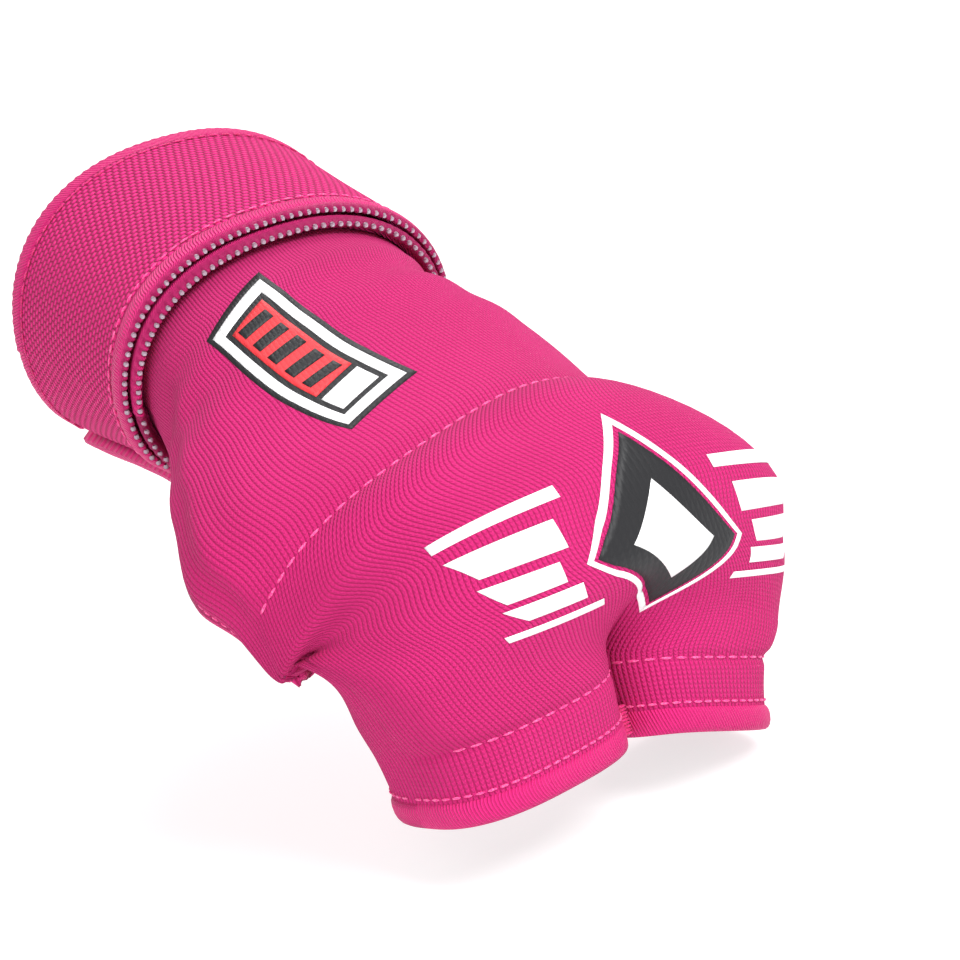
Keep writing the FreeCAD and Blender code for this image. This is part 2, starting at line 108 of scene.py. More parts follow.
# outlines of the strap's edge tapes: distance along, height over the inner profile
OUTER_FRONT = ((46.2, 5.7), (47.6, 6.2), (49.3, 6.3), (50.7, 5.95), (51.5, 5.3),
               (51.4, 4.75), (50.4, 4.6), (48.4, 4.5), (46.2, 4.4))
OUTER_REAR = ((4.4, 5.7), (3.2, 6.1), (1.8, 6.15), (0.6, 5.8), (-0.1, 5.1),
              (0.1, 4.3), (0.9, 3.95), (2.4, 3.85), (4.4, 4.0))
INNER_FRONT = ((48.6, 3.25), (50.2, 3.75), (51.8, 4.2), (53.0, 4.1), (53.7, 3.5),
               (53.5, 2.8), (52.6, 2.4), (50.6, 2.1), (48.6, 1.75))
INNER_REAR = ((6.8, 3.3), (5.4, 3.5), (4.0, 3.5), (3.0, 3.1), (2.5, 2.5),
              (2.9, 1.8), (4.2, 1.62), (6.8, 1.7))
OUTER_DOTS = (51.45, 5.2)
INNER_DOTS = (53.65, 3.35)
DOT_PITCH = 1.8
DOT_RADIUS = 0.52
DOT_RINGS, DOT_SIDES = 3, 7
RIB_DEPTH = 0.10
STITCH_LINES = (45.4, 5.4)  # distances of the two stitch lines of the strap
ANCHOR_LINES = (12.0, 26.0, 40.0)
HOOK_LINES = (8.5, 43.5)
# pitch, length and radius of each kind of stitch
STRAP_STITCH = (2.4, 1.75, 0.21)
ANCHOR_STITCH = (2.6, 1.8, 0.25)
PAD_STITCH = (3.1, 2.2, 0.26)
LOWER_STITCH = (2.9, 2.1, 0.26)
TUBE_STITCH = (2.1, 1.6, 0.24)
HOLE_STITCHES = 84
STITCH_RISE = 0.2  # how far the strap's stitches stand over it
STITCH_RINGS, STITCH_SIDES = 7, 8
STITCH_FACES = (STITCH_RINGS - 1) * STITCH_SIDES + 2
THREAD_TURN = (0.31, 0.52, 0.8)  # a direction that no thread follows
STITCH_TAPER = 0.75  # how much thinner a thread gets towards its ends
TAIL_MIDDLE = 0.786
TIP_WIDTH, TIP_EDGE = 0.022, 0.005  # tape over the free end, as shares of the way round
LOWER_SEAM_TURN = {"A": (0.10, 0.46), "B": (0.04, 0.47)}

# printed label corners (distance along, share of the way round), and the knuckle graphic
LABEL = ((57.5, 0.223), (88.2, 0.248), (91.0, 0.197), (61.5, 0.140))
EMBLEM = (119.6, 0.288)
EMBLEM_TURN = 232.0
INK_CELL = 0.8
INK_LIFT = 0.02
INK_STEP = 0.06
LABEL_BARS = 5
LABEL_SIZE = np.array([31.0, 17.0])

CAMERA_TURN = (71.59, 18.32, -10.42)
CAMERA_AIM = (0.02648, -0.01431)
CAMERA_DISTANCE = 626.3
CAMERA_TARGET = (75.0, 8.0, -10.0)
CAMERA_LENS = 133.41
CAMERA_SENSOR = 36.0
CAMERA_CLIP = (0.01, 20.0)
LIGHT_TARGET = (0.08, 0.01, -0.01)
WORLD_LIGHT = 0.62
FLOOR_GLOW = 0.70
FLOOR_HALF = 3.0
FLOOR_GAP = 0.0002
KEY_POWER = 9.0
FILL_POWER = 3.0
RIM_POWER = 3.0

# distance, pitch, yaw, roll, half width thumb side, half width little side,
# height to the back, height to the palm
STATIONS = np.array([
    (0.0, 0.0, 0.0, 0.0, 31.0, 27.0, 27.4, 25.6),
    (51.0, 0.0, 0.0, 0.0, 27.3, 29.0, 21.2, 20.3),
    (63.0, 13.7, 11.6, 3.0, 31.5, 26.6, 19.0, 20.0),
    (79.0, 27.3, 23.3, 6.1, 44.0, 38.6, 16.5, 20.5),
    (91.0, 27.3, 23.3, 6.1, 50.0, 45.0, 16.0, 21.0),
    (99.0, 28.0, 23.3, 6.1, 48.0, 46.2, 16.5, 20.5),
    (106.0, 33.7, 23.3, 6.1, 43.5, 47.2, 19.9, 17.0),
    (112.7, 54.0, 23.3, 4.6, 41.0, 48.6, 19.9, 8.5),
    (119.3, 74.3, 23.3, 3.1, 40.5, 48.6, 19.9, 10.0),
    (132.0, 80.7, 23.3, 3.1, 37.5, 42.5, 16.0, 13.0),
    (141.0, 80.7, 23.3, 3.1, 34.5, 36.0, 14.4, 13.0),
    (152.6, 80.7, 23.3, 3.1, 33.0, 33.5, 13.4, 13.0),
])

COLUMNS = 300  # mesh columns round the sleeve
BODY_ROWS, CUFF_ROWS, TUBE_ROWS = 110, 22, 18
BAND_COLUMNS, BAND_ROWS = 34, 240  # across a strap, and once round it
TAPE_ROWS = 900
OUTLINE_POINTS = 26
PATH_POINTS = 400
WELD = 0.00002  # points closer than this are one, in metres
SPLIT_COLUMN = 82  # the column that runs down the valley between finger pairs
VS = SPLIT_COLUMN / COLUMNS
CROTCH = 139.0  # where the sleeve forks into two tubes
LOBE_EXPONENT = 2.8


# ---- smooth tables ----
def table_slopes():
    """Slopes of smooth columns that never overshoot their values."""
    rise = np.diff(STATIONS[:, 1:], axis=0) / np.diff(STATIONS[:, 0])[:, None]
    inner = np.zeros_like(rise[1:])
    same = rise[:-1] * rise[1:] > 0
    inner[same] = (2 * rise[:-1] * rise[1:] / np.where(same, rise[:-1] + rise[1:], 1))[same]
    return np.vstack([rise[:1], inner, rise[-1:]])


SLOPES = table_slopes()


def lookup(s, column):
    """Value of one column of the station table at distance s."""
    xs = STATIONS[:, 0]
    s = np.clip(s, xs[0], xs[-1])
    i = np.clip(np.searchsorted(xs, s, side="right") - 1, 0, len(xs) - 2)
    step = xs[i + 1] - xs[i]
    u = (s - xs[i]) / step
    left, right = STATIONS[i, column], STATIONS[i + 1, column]
    lean_left, lean_right = SLOPES[i, column - 1], SLOPES[i + 1, column - 1]
    value = (1 + 2 * u) * (1 - u) ** 2 * left + u * u * (3 - 2 * u) * right
    return value + u * (1 - u) ** 2 * step * lean_left - u * u * (1 - u) * step * lean_right


def ramp(value, start, end):
    """0 before start, 1 after end, smooth between."""
    u = np.clip((value - start) / (end - start), 0, 1)
    return u * u * (3 - 2 * u)


def hump(value, centre, width):
    """Bell shape of height 1."""
    return np.exp(-((value - centre) / width) ** 2)


def arc_lengths(points, axis=0):
    """Running length along a path, or along one axis of a grid of points."""
    total = np.cumsum(np.linalg.norm(np.diff(points, axis=axis), axis=-1), axis=axis)
    pad = [(0, 0)] * total.ndim
    pad[axis] = (1, 0)
    return np.pad(total, pad)


def unit(vectors):
    """The same directions, one long."""
    return vectors / np.linalg.norm(vectors, axis=-1, keepdims=True)


def spots(where, run, path):
    """Points of a path at given running lengths."""
    return np.stack([np.interp(where, run, path[:, k]) for k in range(path.shape[1])], -1)


def frames(s):
    """Forward, sideways and upward directions of the sections."""
    pitch, yaw, roll = (np.radians(lookup(s, k)) for k in (1, 2, 3))
    zero = np.zeros_like(pitch)
    forward = np.stack([np.cos(pitch) * np.cos(yaw), np.cos(pitch) * np.sin(yaw), -np.sin(pitch)], -1)
    level = np.stack([-np.sin(yaw), np.cos(yaw), zero], -1)
    upright = np.stack([np.sin(pitch) * np.cos(yaw), np.sin(pitch) * np.sin(yaw), np.cos(pitch)], -1)
    cos, sin = np.cos(roll)[..., None], np.sin(roll)[..., None]
    return forward, level * cos + upright * sin, upright * cos - level * sin


SPINE_STEP = 0.5
SPINE_S = np.arange(0, FINGER_EDGE + 1, SPINE_STEP)
SPINE = np.vstack([np.zeros(3), np.cumsum(frames(SPINE_S[:-1] + SPINE_STEP / 2)[0] * SPINE_STEP, axis=0)])


def rounded(value, exponent):
    """Turns a sine or cosine into the coordinate of a squarish oval."""
    return np.sign(value) * np.abs(value) ** (2 / exponent)


def fork(s):
    """How far the section has turned from one oval into two side by side."""
    return 0.95 * ramp(s, 120.0, 141.0)


def local(s, v, off, lobe=None, gap=0.0):
    """Across and up position inside the section."""
    v = np.mod(v, 1.0)
    angle = 2 * np.pi * v
    top = np.sin(angle) >= 0
    thumb, little, back, palm = (lookup(s, k) for k in (4, 5, 6, 7))
    tall = np.where(top, back, palm) + off
    across = rounded(-np.cos(angle), EXPONENT)
    y1 = across * (np.where(across < 0, thumb, little) + off)
    z1 = rounded(np.sin(angle), EXPONENT) * tall
    share = np.minimum(v, 1 - v)
    first = share < VS if lobe is None else np.full(share.shape, lobe == "A")
    phi = np.where(first, share / VS, (share - VS) / (0.5 - VS)) * np.pi
    low = np.where(first, -(thumb + off), SPLIT_Y + gap)
    high = np.where(first, SPLIT_Y - gap, little + off)
    y2 = (low + high) / 2 - (high - low) / 2 * rounded(np.cos(phi), LOBE_EXPONENT)
    z2 = np.where(top, 1, -1) * tall * rounded(np.maximum(np.sin(phi), 0), LOBE_EXPONENT)
    k = fork(s)
    return (1 - k) * y1 + k * y2, (1 - k) * z1 + k * z2


def place(s, y, z):
    """Point in the row frame for a position inside the section at s."""
    hand = ramp(s, STRAP_WIDTH + 8, STRAP_WIDTH + 48)
    fist = ramp(s, 100.0, 113.5)
    little = (np.maximum(y, 0) / 40) ** 2
    thumb = (np.minimum(y, 0) / 40) ** 2
    slope = FINGER_SLOPE[0] * y + FINGER_SLOPE[1]
    ahead = 0.5 * (slope + np.sqrt(slope ** 2 + 4)) * fist
    rim = np.minimum(s / STRAP_WIDTH, 1) * (1 - ramp(s, STRAP_WIDTH + 3, STRAP_WIDTH + 25))
    ahead = ahead + rim * (RIM_TILT[0] * y / 35 + RIM_TILT[1] * z / 30)
    sag = THUMB_DROP[0] * hump(s, THUMB_DROP[1], THUMB_DROP[2]) * (np.minimum(y, 0) / 45) ** 6
    z = z - hand * LITTLE_DROP * little * (1 - fist) - fist * THUMB_BACK * thumb - sag
    forward, side, up = frames(s)
    return spots(s, SPINE_S, SPINE) + side * y[..., None] + up * z[..., None] + forward * ahead[..., None]


def surf(s, v, off, lobe=None, gap=0.0):
    """Points of the plain wrap surface, off outside its inner profile."""
    s, v, off = np.broadcast_arrays(*(np.asarray(x, float) for x in (s, v, off)))
    pressed = THUMB_PRESS * hump(np.mod(v, 1.0), 0.885, 0.08) * (1 - ramp(s, 50.0, 62.0))
    y, z = local(s, v, off - pressed, lobe, gap)
    return place(s, y, z)


# ---- cushions and folds of the knit ----
def seam_s(v):
    """Distance of the sewn line behind the padding; it drifts forward on the little side."""
    return PAD_START + 3.0 * ramp(v, 0.30, 0.47)


def relief(s, v):
    """How far the outside of the knit stands off the plain surface."""
    v = np.mod(v + 0.25, 1.0) - 0.25
    along = np.clip((s - PAD_START) / (LOWER_SEAM - PAD_START), 0, 1)
    across = np.clip((v - 0.01) / 0.48, 0, 1)
    pad = PAD_SWELL * np.sin(np.pi * along) ** 0.6 * np.sin(np.pi * across) ** 0.45
    seam = -SEAM_SINK * hump(s, seam_s(v), 1.3) * ramp(v, 0.0, 0.04) * (1 - ramp(v, 0.46, 0.5))
    lower = -LOWER_SINK * hump(s, LOWER_SEAM, 1.1) * ramp(v, 0.0, 0.03) * (1 - ramp(v, 0.47, 0.5))
    thumb = ramp(s, 54, 66) * (1 - ramp(s, 96, 108)) * hump(v, -0.02, 0.09)
    fan = FAN_FOLDS * thumb * np.sin(2 * np.pi * (v * 17 + 0.016 * s))
    hollow = -THUMB_HOLLOW * hump(s, 60, 6) * hump(v, 0.01, 0.06)
    crease = -THUMB_CREASE * hump(s - 60 * v, 112, 4.0) * hump(v, 0.0, 0.055)
    wrist = WRIST_RIPPLE * ramp(s, 54, 60) * (1 - ramp(s, 66, 84)) * np.sin(2 * np.pi * (s / 9.0 + 1.5 * v))
    wrist = wrist * (0.4 + hump(v, 0.45, 0.12) + hump(v, 0.06, 0.08))
    drift = KNIT_DRIFT * np.sin(0.21 * s + 9 * v) * np.sin(17 * v + 0.05 * s) * ramp(s, 56, 70)
    return pad + seam + lower + fan + hollow + crease + wrist + drift


def knit_off(s, v):
    """Outside of the knit, tucked in where it runs under the strap."""
    under = 1 - ramp(s, STRAP_WIDTH + 1, STRAP_WIDTH + 9)
    return KNIT_OUT - 0.7 * under + relief(s, v) * (1 - under)


def knit_point(s, v, lift=0.0, lobe=None, gap=0.0):
    """Point on the outside of the knit, plus lift."""
    s, v = np.broadcast_arrays(np.asarray(s, float), np.asarray(v, float))
    return surf(s, v, knit_off(s, v) + lift, lobe, gap)


def tube_gap(s):
    """Half the space between the two finger tubes."""
    return 0.35 * ramp(s, CROTCH, FINGER_EDGE)


# ---- meshes ----
def make_object(name, points, faces, uvs=None):
    """Mesh object from points in millimetres; uvs is one pair per point."""
    mesh = bpy.data.meshes.new(name)
    mesh.from_pydata([tuple(p) for p in np.asarray(points) * MM], [], [tuple(f) for f in faces])
    if uvs is not None:
        layer = mesh.uv_layers.new(name="UV")
        index = np.zeros(len(mesh.loops), np.int32)
        mesh.loops.foreach_get("vertex_index", index)
        layer.data.foreach_set("uv", np.asarray(uvs, np.float32)[index].ravel())
    mesh.polygons.foreach_set("use_smooth", [True] * len(mesh.polygons))
    obj = bpy.data.objects.new(name, mesh)
    bpy.context.scene.collection.objects.link(obj)
    return obj


def grid_faces(rows, columns, wrap=False, start=0):
    """Quads of a grid of points numbered row by row."""
    faces = []
    for i in range(rows - 1):
        low, high = start + i * columns, start + (i + 1) * columns
        for j in range(columns if wrap else columns - 1):
            k = (j + 1) % columns
            faces.append((low + j, low + k, high + k, high + j))
    return faces


def slab_faces(rows, columns, start=0):
    """Faces of a closed slab: a grid of low points, then the same grid of high points."""
    count = rows * columns
    faces = [tuple(reversed(f)) for f in grid_faces(rows, columns, start=start)]
    faces += grid_faces(rows, columns, start=start + count)
    grid = start + np.arange(count).reshape(rows, columns)
    rim = np.concatenate([grid[0], grid[1:, -1], grid[-1, -2::-1], grid[-2:0:-1, 0]]).tolist()
    return faces + [(a, b, count + b, count + a) for a, b in zip(rim, rim[1:] + rim[:1])]


def bake_modifiers(obj):
    """Applies the modifiers of an object to its mesh."""
    graph = bpy.context.evaluated_depsgraph_get()
    mesh = bpy.data.meshes.new_from_object(obj.evaluated_get(graph))
    obj.modifiers.clear()
    obj.data = mesh
    return obj


def clean(obj, distance=WELD):
    """Joins points that lie on each other and turns all faces outwards."""
    work = bmesh.new()
    work.from_mesh(obj.data)
    if distance:
        bmesh.ops.remove_doubles(work, verts=work.verts, dist=distance)
    bmesh.ops.recalc_face_normals(work, faces=work.faces)
    work.to_mesh(obj.data)
    work.free()
    return obj


def profile_sweep(name, profile, stations, wrap, point):
    """Closed cross-section carried along stations; point(a, b, t) takes whole arrays."""
    profile = np.asarray(profile, float)
    stations = np.asarray(stations, float)
    shape = (len(stations), len(profile))
    a, b, t = (np.broadcast_to(x, shape) for x in (profile[:, 0], profile[:, 1], stations[:, None]))
    ring = point(a, b, t)
    ring = np.concatenate([ring, ring[:, :1]], axis=1)
    if wrap:
        ring = np.concatenate([ring, ring[:1]])
    n, m = ring.shape[:2]
    uvs = np.stack([arc_lengths(ring, 0), arc_lengths(ring, 1)], -1).reshape(-1, 2)
    faces = grid_faces(n, m)
    if not wrap:
        faces.append(tuple(range(m - 1)))
        faces.append(tuple((n - 1) * m + k for k in reversed(range(m - 1))))
    return clean(make_object(name, ring.reshape(-1, 3), faces, uvs))


def oval(half_a, half_b, count, power):
    """Rounded cross-section."""
    angle = np.linspace(0, 2 * np.pi, count, endpoint=False)
    return np.stack([half_a * rounded(np.cos(angle), power), half_b * rounded(np.sin(angle), power)], 1)


def shell(name, ss, vs, inner, outer):
    """Closed sheet between two offset surfaces over one patch."""
    s, v = np.meshgrid(ss, vs, indexing="ij")
    low, high = surf(s, v, inner(s, v)), surf(s, v, outer(s, v))
    points = np.concatenate([low.reshape(-1, 3), high.reshape(-1, 3)])
    uv = np.stack([arc_lengths(high, 1), arc_lengths(high, 0)], -1).reshape(-1, 2)
    obj = make_object(name, points, slab_faces(*s.shape), np.concatenate([uv, uv]))
    return clean(obj, WELD / 20)


def copies(name, points, faces):
    """Many small forms with the same faces; points holds one row for each form."""
    count = points.shape[1]
    every = [tuple(k + n * count for k in face) for n in range(len(points)) for face in faces]
    return make_object(name, points.reshape(-1, 3), every)


def ring_grid(heights, sides):
    """Height and angle of every point of a stack of rings."""
    height, angle = np.meshgrid(heights, np.linspace(0, 2 * np.pi, sides, endpoint=False), indexing="ij")
    return height.reshape(-1, 1), angle.reshape(-1, 1)


def capsules(name, starts, ends, radius):
    """Short threads from starts to ends, thinner towards their tips."""
    starts, ends = np.asarray(starts, float)[:, None], np.asarray(ends, float)[:, None]
    along = unit(ends - starts)
    side = unit(np.cross(along, THREAD_TURN))
    up = np.cross(side, along)
    t, q = ring_grid(np.linspace(-1, 1, STITCH_RINGS), STITCH_SIDES)
    thick = radius * (1 - STITCH_TAPER * np.abs(t) ** 3)
    middle = (starts + ends) / 2 + (ends - starts) * t / 2
    points = middle + side * thick * np.cos(q) + up * thick * np.sin(q)
    faces = grid_faces(STITCH_RINGS, STITCH_SIDES, wrap=True)
    faces.append(tuple(reversed(range(STITCH_SIDES))))
    faces.append(tuple((STITCH_RINGS - 1) * STITCH_SIDES + k for k in range(STITCH_SIDES)))
    return copies(name, points, faces)


def beads(name, centres, radius):
    """Small round studs."""
    q, t = ring_grid(np.linspace(0, np.pi, DOT_RINGS + 2)[1:-1], DOT_SIDES)
    ball = np.hstack([np.sin(q) * np.cos(t), np.sin(q) * np.sin(t), np.cos(q)])
    ball = np.vstack([ball, (0, 0, 1), (0, 0, -1)])
    top = DOT_RINGS * DOT_SIDES
    low = top - DOT_SIDES
    faces = grid_faces(DOT_RINGS, DOT_SIDES, wrap=True)
    for k in range(DOT_SIDES):
        after = (k + 1) % DOT_SIDES
        faces += [(top, k, after), (top + 1, low + after, low + k)]
    return copies(name, centres[:, None] + ball * radius, faces)


# ---- materials ----
class Graph:
    """Short way to write shader mathematics."""

    def __init__(self, name):
        self.material = bpy.data.materials.new(name)
        self.material.use_nodes = True
        self.nodes = self.material.node_tree.nodes
        self.links = self.material.node_tree.links
        self.shader = self.nodes["Principled BSDF"]

    def put(self, socket, value):
        if isinstance(value, bpy.types.NodeSocket):
            self.links.new(value, socket)
        else:
            socket.default_value = value

    def math(self, operation, *values):
        node = self.nodes.new("ShaderNodeMath")
        node.operation = operation
        for socket, value in zip(node.inputs, values):
            self.put(socket, value)
        return node.outputs[0]

    def add(self, a, b):
        return self.math("ADD", a, b)

    def sub(self, a, b):
        return self.math("SUBTRACT", a, b)

    def mul(self, a, b):
        return self.math("MULTIPLY", a, b)

    def wave(self, a):
        """Cosine of a number of turns, from 0 to 1."""
        turned = self.math("COSINE", self.mul(a, 2 * math.pi))
        return self.add(self.mul(turned, 0.5), 0.5)

    def step(self, value, low, high):
        """0 below low, 1 above high, smooth between."""
        node = self.nodes.new("ShaderNodeMapRange")
        node.interpolation_type = "SMOOTHSTEP"
        self.put(node.inputs["Value"], value)
        self.put(node.inputs["From Min"], low)
        self.put(node.inputs["From Max"], high)
        return node.outputs["Result"]

    def uv(self):
        node = self.nodes.new("ShaderNodeSeparateXYZ")
        source = self.nodes.new("ShaderNodeTexCoord")
        self.links.new(source.outputs["UV"], node.inputs[0])
        return node.outputs[0], node.outputs[1]

    def noise(self, scale, detail):
        source = self.nodes.new("ShaderNodeTexCoord")
        node = self.nodes.new("ShaderNodeTexNoise")
        self.links.new(source.outputs["Object"], node.inputs["Vector"])
        node.inputs["Scale"].default_value = scale
        node.inputs["Detail"].default_value = detail
        return node.outputs["Fac"]

    def mix(self, share, first, second):
        node = self.nodes.new("ShaderNodeMix")
        node.data_type = "RGBA"
        self.put(node.inputs["Factor"], share)
        self.put(node.inputs["A"], first)
        self.put(node.inputs["B"], second)
        return node.outputs["Result"]

    def fuzz(self, shade, light, scale, low, high):
        """The shade with fine pale hairs on it."""
        hairs = self.step(self.noise(scale, 1.0), low, high)
        return self.mix(self.mul(hairs, 0.3), shade, light)

    def finish(self, colour, height, strength, distance, roughness, sheen, specular=0.2):
        """Colour, gloss and the relief that height gives."""
        for socket, value in (("Base Color", colour), ("Roughness", roughness), ("Sheen Weight", sheen),
                              ("Sheen Roughness", 0.5), ("Sheen Tint", SHEEN_TINT),
                              ("Specular IOR Level", specular)):
            self.put(self.shader.inputs[socket], value)
        bump = self.nodes.new("ShaderNodeBump")
        for socket, value in (("Strength", strength), ("Distance", distance), ("Height", height)):
            self.put(bump.inputs[socket], value)
        self.links.new(bump.outputs["Normal"], self.shader.inputs["Normal"])
        return self.material


PINK = (0.80, 0.021, 0.220, 1)
PINK_DARK = (0.46, 0.004, 0.085, 1)
KNIT_PINK = (0.61, 0.018, 0.172, 1)
KNIT_SHADE_AND_TONE = (0.30, 0.003, 0.055, 1)
PINK_LIGHT = (0.93, 0.10, 0.37, 1)
THREAD_PINK = (0.90, 0.15, 0.38, 1)
SILVER = (0.47, 0.38, 0.45, 1)
SILVER_DARK = (0.36, 0.30, 0.36, 1)
SHEEN_TINT = (1, 0.5, 0.7, 1)
COURSE = 0.85  # height of one knitted stitch
WEAVE = 1.40  # width of one strap rib
TAPE_RIB = 0.62  # width of one fine rib of the edge tapes


def knit_height(g, u, w):
    """Height, groove and middle line of a plain knit: u counts columns, w is in millimetres."""
    column = g.math("FRACT", u)
    side = g.math("ABSOLUTE", g.sub(column, 0.5))
    leg = g.math("POWER", g.math("ABSOLUTE", g.math("COSINE", g.mul(side, math.pi))), 0.8)
    bead = g.wave(g.add(g.mul(w, 1 / COURSE), g.mul(side, 1.1)))
    height = g.mul(leg, g.add(0.55, g.mul(bead, 0.45)))
    groove = g.step(side, 0.24, 0.5)
    middle = g.sub(1.0, g.step(side, 0.0, 0.10))
    return height, groove, middle


def knit_material(name, base, dark, light):
    """Knit with painted shade in its grooves, a faint painted shade line down the middle of each column,
    fine pale hairs and slow random changes of tone.
    """
    g = Graph(name)
    height, groove, middle = knit_height(g, *g.uv())
    # painted shade: the grooves between columns and the middle of each column are mixed towards the dark
    # colour
    shade = g.mix(g.mul(groove, 0.60), base, dark)
    shade = g.mix(g.mul(middle, 0.10), shade, dark)
    shade = g.fuzz(shade, light, 5200.0, 0.60, 0.82)
    # slow random changes of tone, not shade
    slow = g.step(g.noise(38.0, 3.0), 0.3, 0.7)
    shade = g.mix(g.mul(slow, 0.16), shade, dark)
    return g.finish(shade, height, 0.7, 0.0007, 0.85, 0.05)


def weave_material(name, base, dark, light):
    """Coarse plain weave of the elastic strap, with painted shade in its hollows; the map is in millimetres.
    """
    g = Graph(name)
    u, w = g.uv()
    b = g.mul(w, 1 / WEAVE)
    odd = g.math("FRACT", g.mul(g.math("FLOOR", b), 0.5))
    a = g.add(g.mul(u, 1 / WEAVE), odd)
    pebble = g.mul(g.math("ABSOLUTE", g.math("SINE", g.mul(a, math.pi))),
                   g.math("ABSOLUTE", g.math("SINE", g.mul(b, math.pi))))
    height = g.math("POWER", pebble, 0.6)
    # painted shade: the hollows between the pebbles of the weave are mixed towards the dark colour
    shade = g.mix(g.mul(g.sub(1.0, g.step(height, 0.2, 0.7)), 0.75), base, dark)
    shade = g.fuzz(shade, light, 4200.0, 0.58, 0.8)
    return g.finish(shade, height, 1.0, 0.0009, 0.8, 0.05)


def tape_material(name, base, dark, light):
    """Satin tape with fine ribs across it and painted shade between them."""
    g = Graph(name)
    u, w = g.uv()
    rib = g.wave(g.mul(g.add(u, g.mul(w, 0.25)), 1 / TAPE_RIB))
    broad = g.wave(g.mul(u, 1 / (TAPE_RIB * 3.1)))
    height = g.add(g.mul(rib, 0.7), g.mul(broad, 0.3))
    # painted shade: the valleys between the fine ribs are mixed towards the dark colour
    shade = g.mix(g.mul(g.sub(1.0, rib), 0.5), base, dark)
    shade = g.fuzz(shade, light, 4200.0, 0.6, 0.85)
    return g.finish(shade, height, 0.8, 0.0006, 0.5, 0.05)


def thread_material(name, base, dark):
    """Twisted thread."""
    g = Graph(name)
    twist = g.step(g.noise(3000.0, 1.0), 0.35, 0.7)
    return g.finish(g.mix(twist, dark, base), twist, 0.3, 0.0002, 0.5, 0.3, specular=0.4)


def rubber_material(name, base, dark):
    """Smooth filling with a fine grain."""
    g = Graph(name)
    grain = g.noise(900.0, 3.0)
    return g.finish(g.mix(grain, dark, base), grain, 0.25, 0.0003, 0.45, 0.0, specular=0.5)


def pile_material(name, base, dark):
    """Hook or loop pile."""
    g = Graph(name)
    pile = g.step(g.noise(2600.0, 2.0), 0.35, 0.68)
    return g.finish(g.mix(pile, dark, base), pile, 0.9, 0.0007, 0.8, 0.4)


def print_material(name, base, thin):
    """Rubbery ink over the knit: the stitches still show through as a faint relief."""
    g = Graph(name)
    height, groove, _ = knit_height(g, *g.uv())
    worn = g.mul(g.step(groove, 0.2, 1.0), g.step(g.noise(2400.0, 2.0), 0.62, 0.80))
    return g.finish(g.mix(g.mul(worn, 0.6), base, thin), height, 0.25, 0.0003, 0.5, 0.0, specular=0.35)


# each material with the name of its slot
STUFF = {
    "knit": (knit_material("knit", KNIT_PINK, KNIT_SHADE_AND_TONE, PINK_LIGHT), "knit"),
    "weave": (weave_material("strap weave", PINK, PINK_DARK, PINK_LIGHT), "strap_weave"),
    "tape": (tape_material("edge tape", PINK, PINK_DARK, PINK_LIGHT), "edge_tape"),
    "thread": (thread_material("pale thread", THREAD_PINK, PINK), "thread"),
    "thread_deep": (thread_material("deep thread", PINK, PINK_DARK), "thread"),
    "dots": (thread_material("rubber ends", SILVER, SILVER_DARK), "thread"),
    "gel": (rubber_material("gel", (0.55, 0.62, 0.66, 1), (0.42, 0.48, 0.52, 1)), "gel"),
    "foam": (rubber_material("foam", (0.045, 0.045, 0.05, 1), (0.02, 0.02, 0.022, 1)), "foam"),
    "lining": (knit_material("lining", (0.50, 0.01, 0.10, 1), (0.20, 0.003, 0.04, 1), (0.6, 0.05, 0.2, 1)),
               "lining"),
    "hook": (pile_material("hook pile", (0.035, 0.008, 0.016, 1), (0.012, 0.004, 0.008, 1)), "hook"),
    "loop": (pile_material("loop pile", (0.50, 0.012, 0.12, 1), (0.25, 0.004, 0.06, 1)), "loop"),
    "white": (print_material("white ink", (0.93, 0.92, 0.93, 1), (0.80, 0.55, 0.66, 1)), "print_black"),
    "black": (print_material("black ink", (0.012, 0.012, 0.014, 1), (0.03, 0.012, 0.018, 1)), "print_black"),
    "red": (print_material("red ink", (0.72, 0.035, 0.045, 1), (0.45, 0.01, 0.03, 1)), "print_black"),
}


# ---- sleeve ----
WALES = 240  # knitted columns round the sleeve


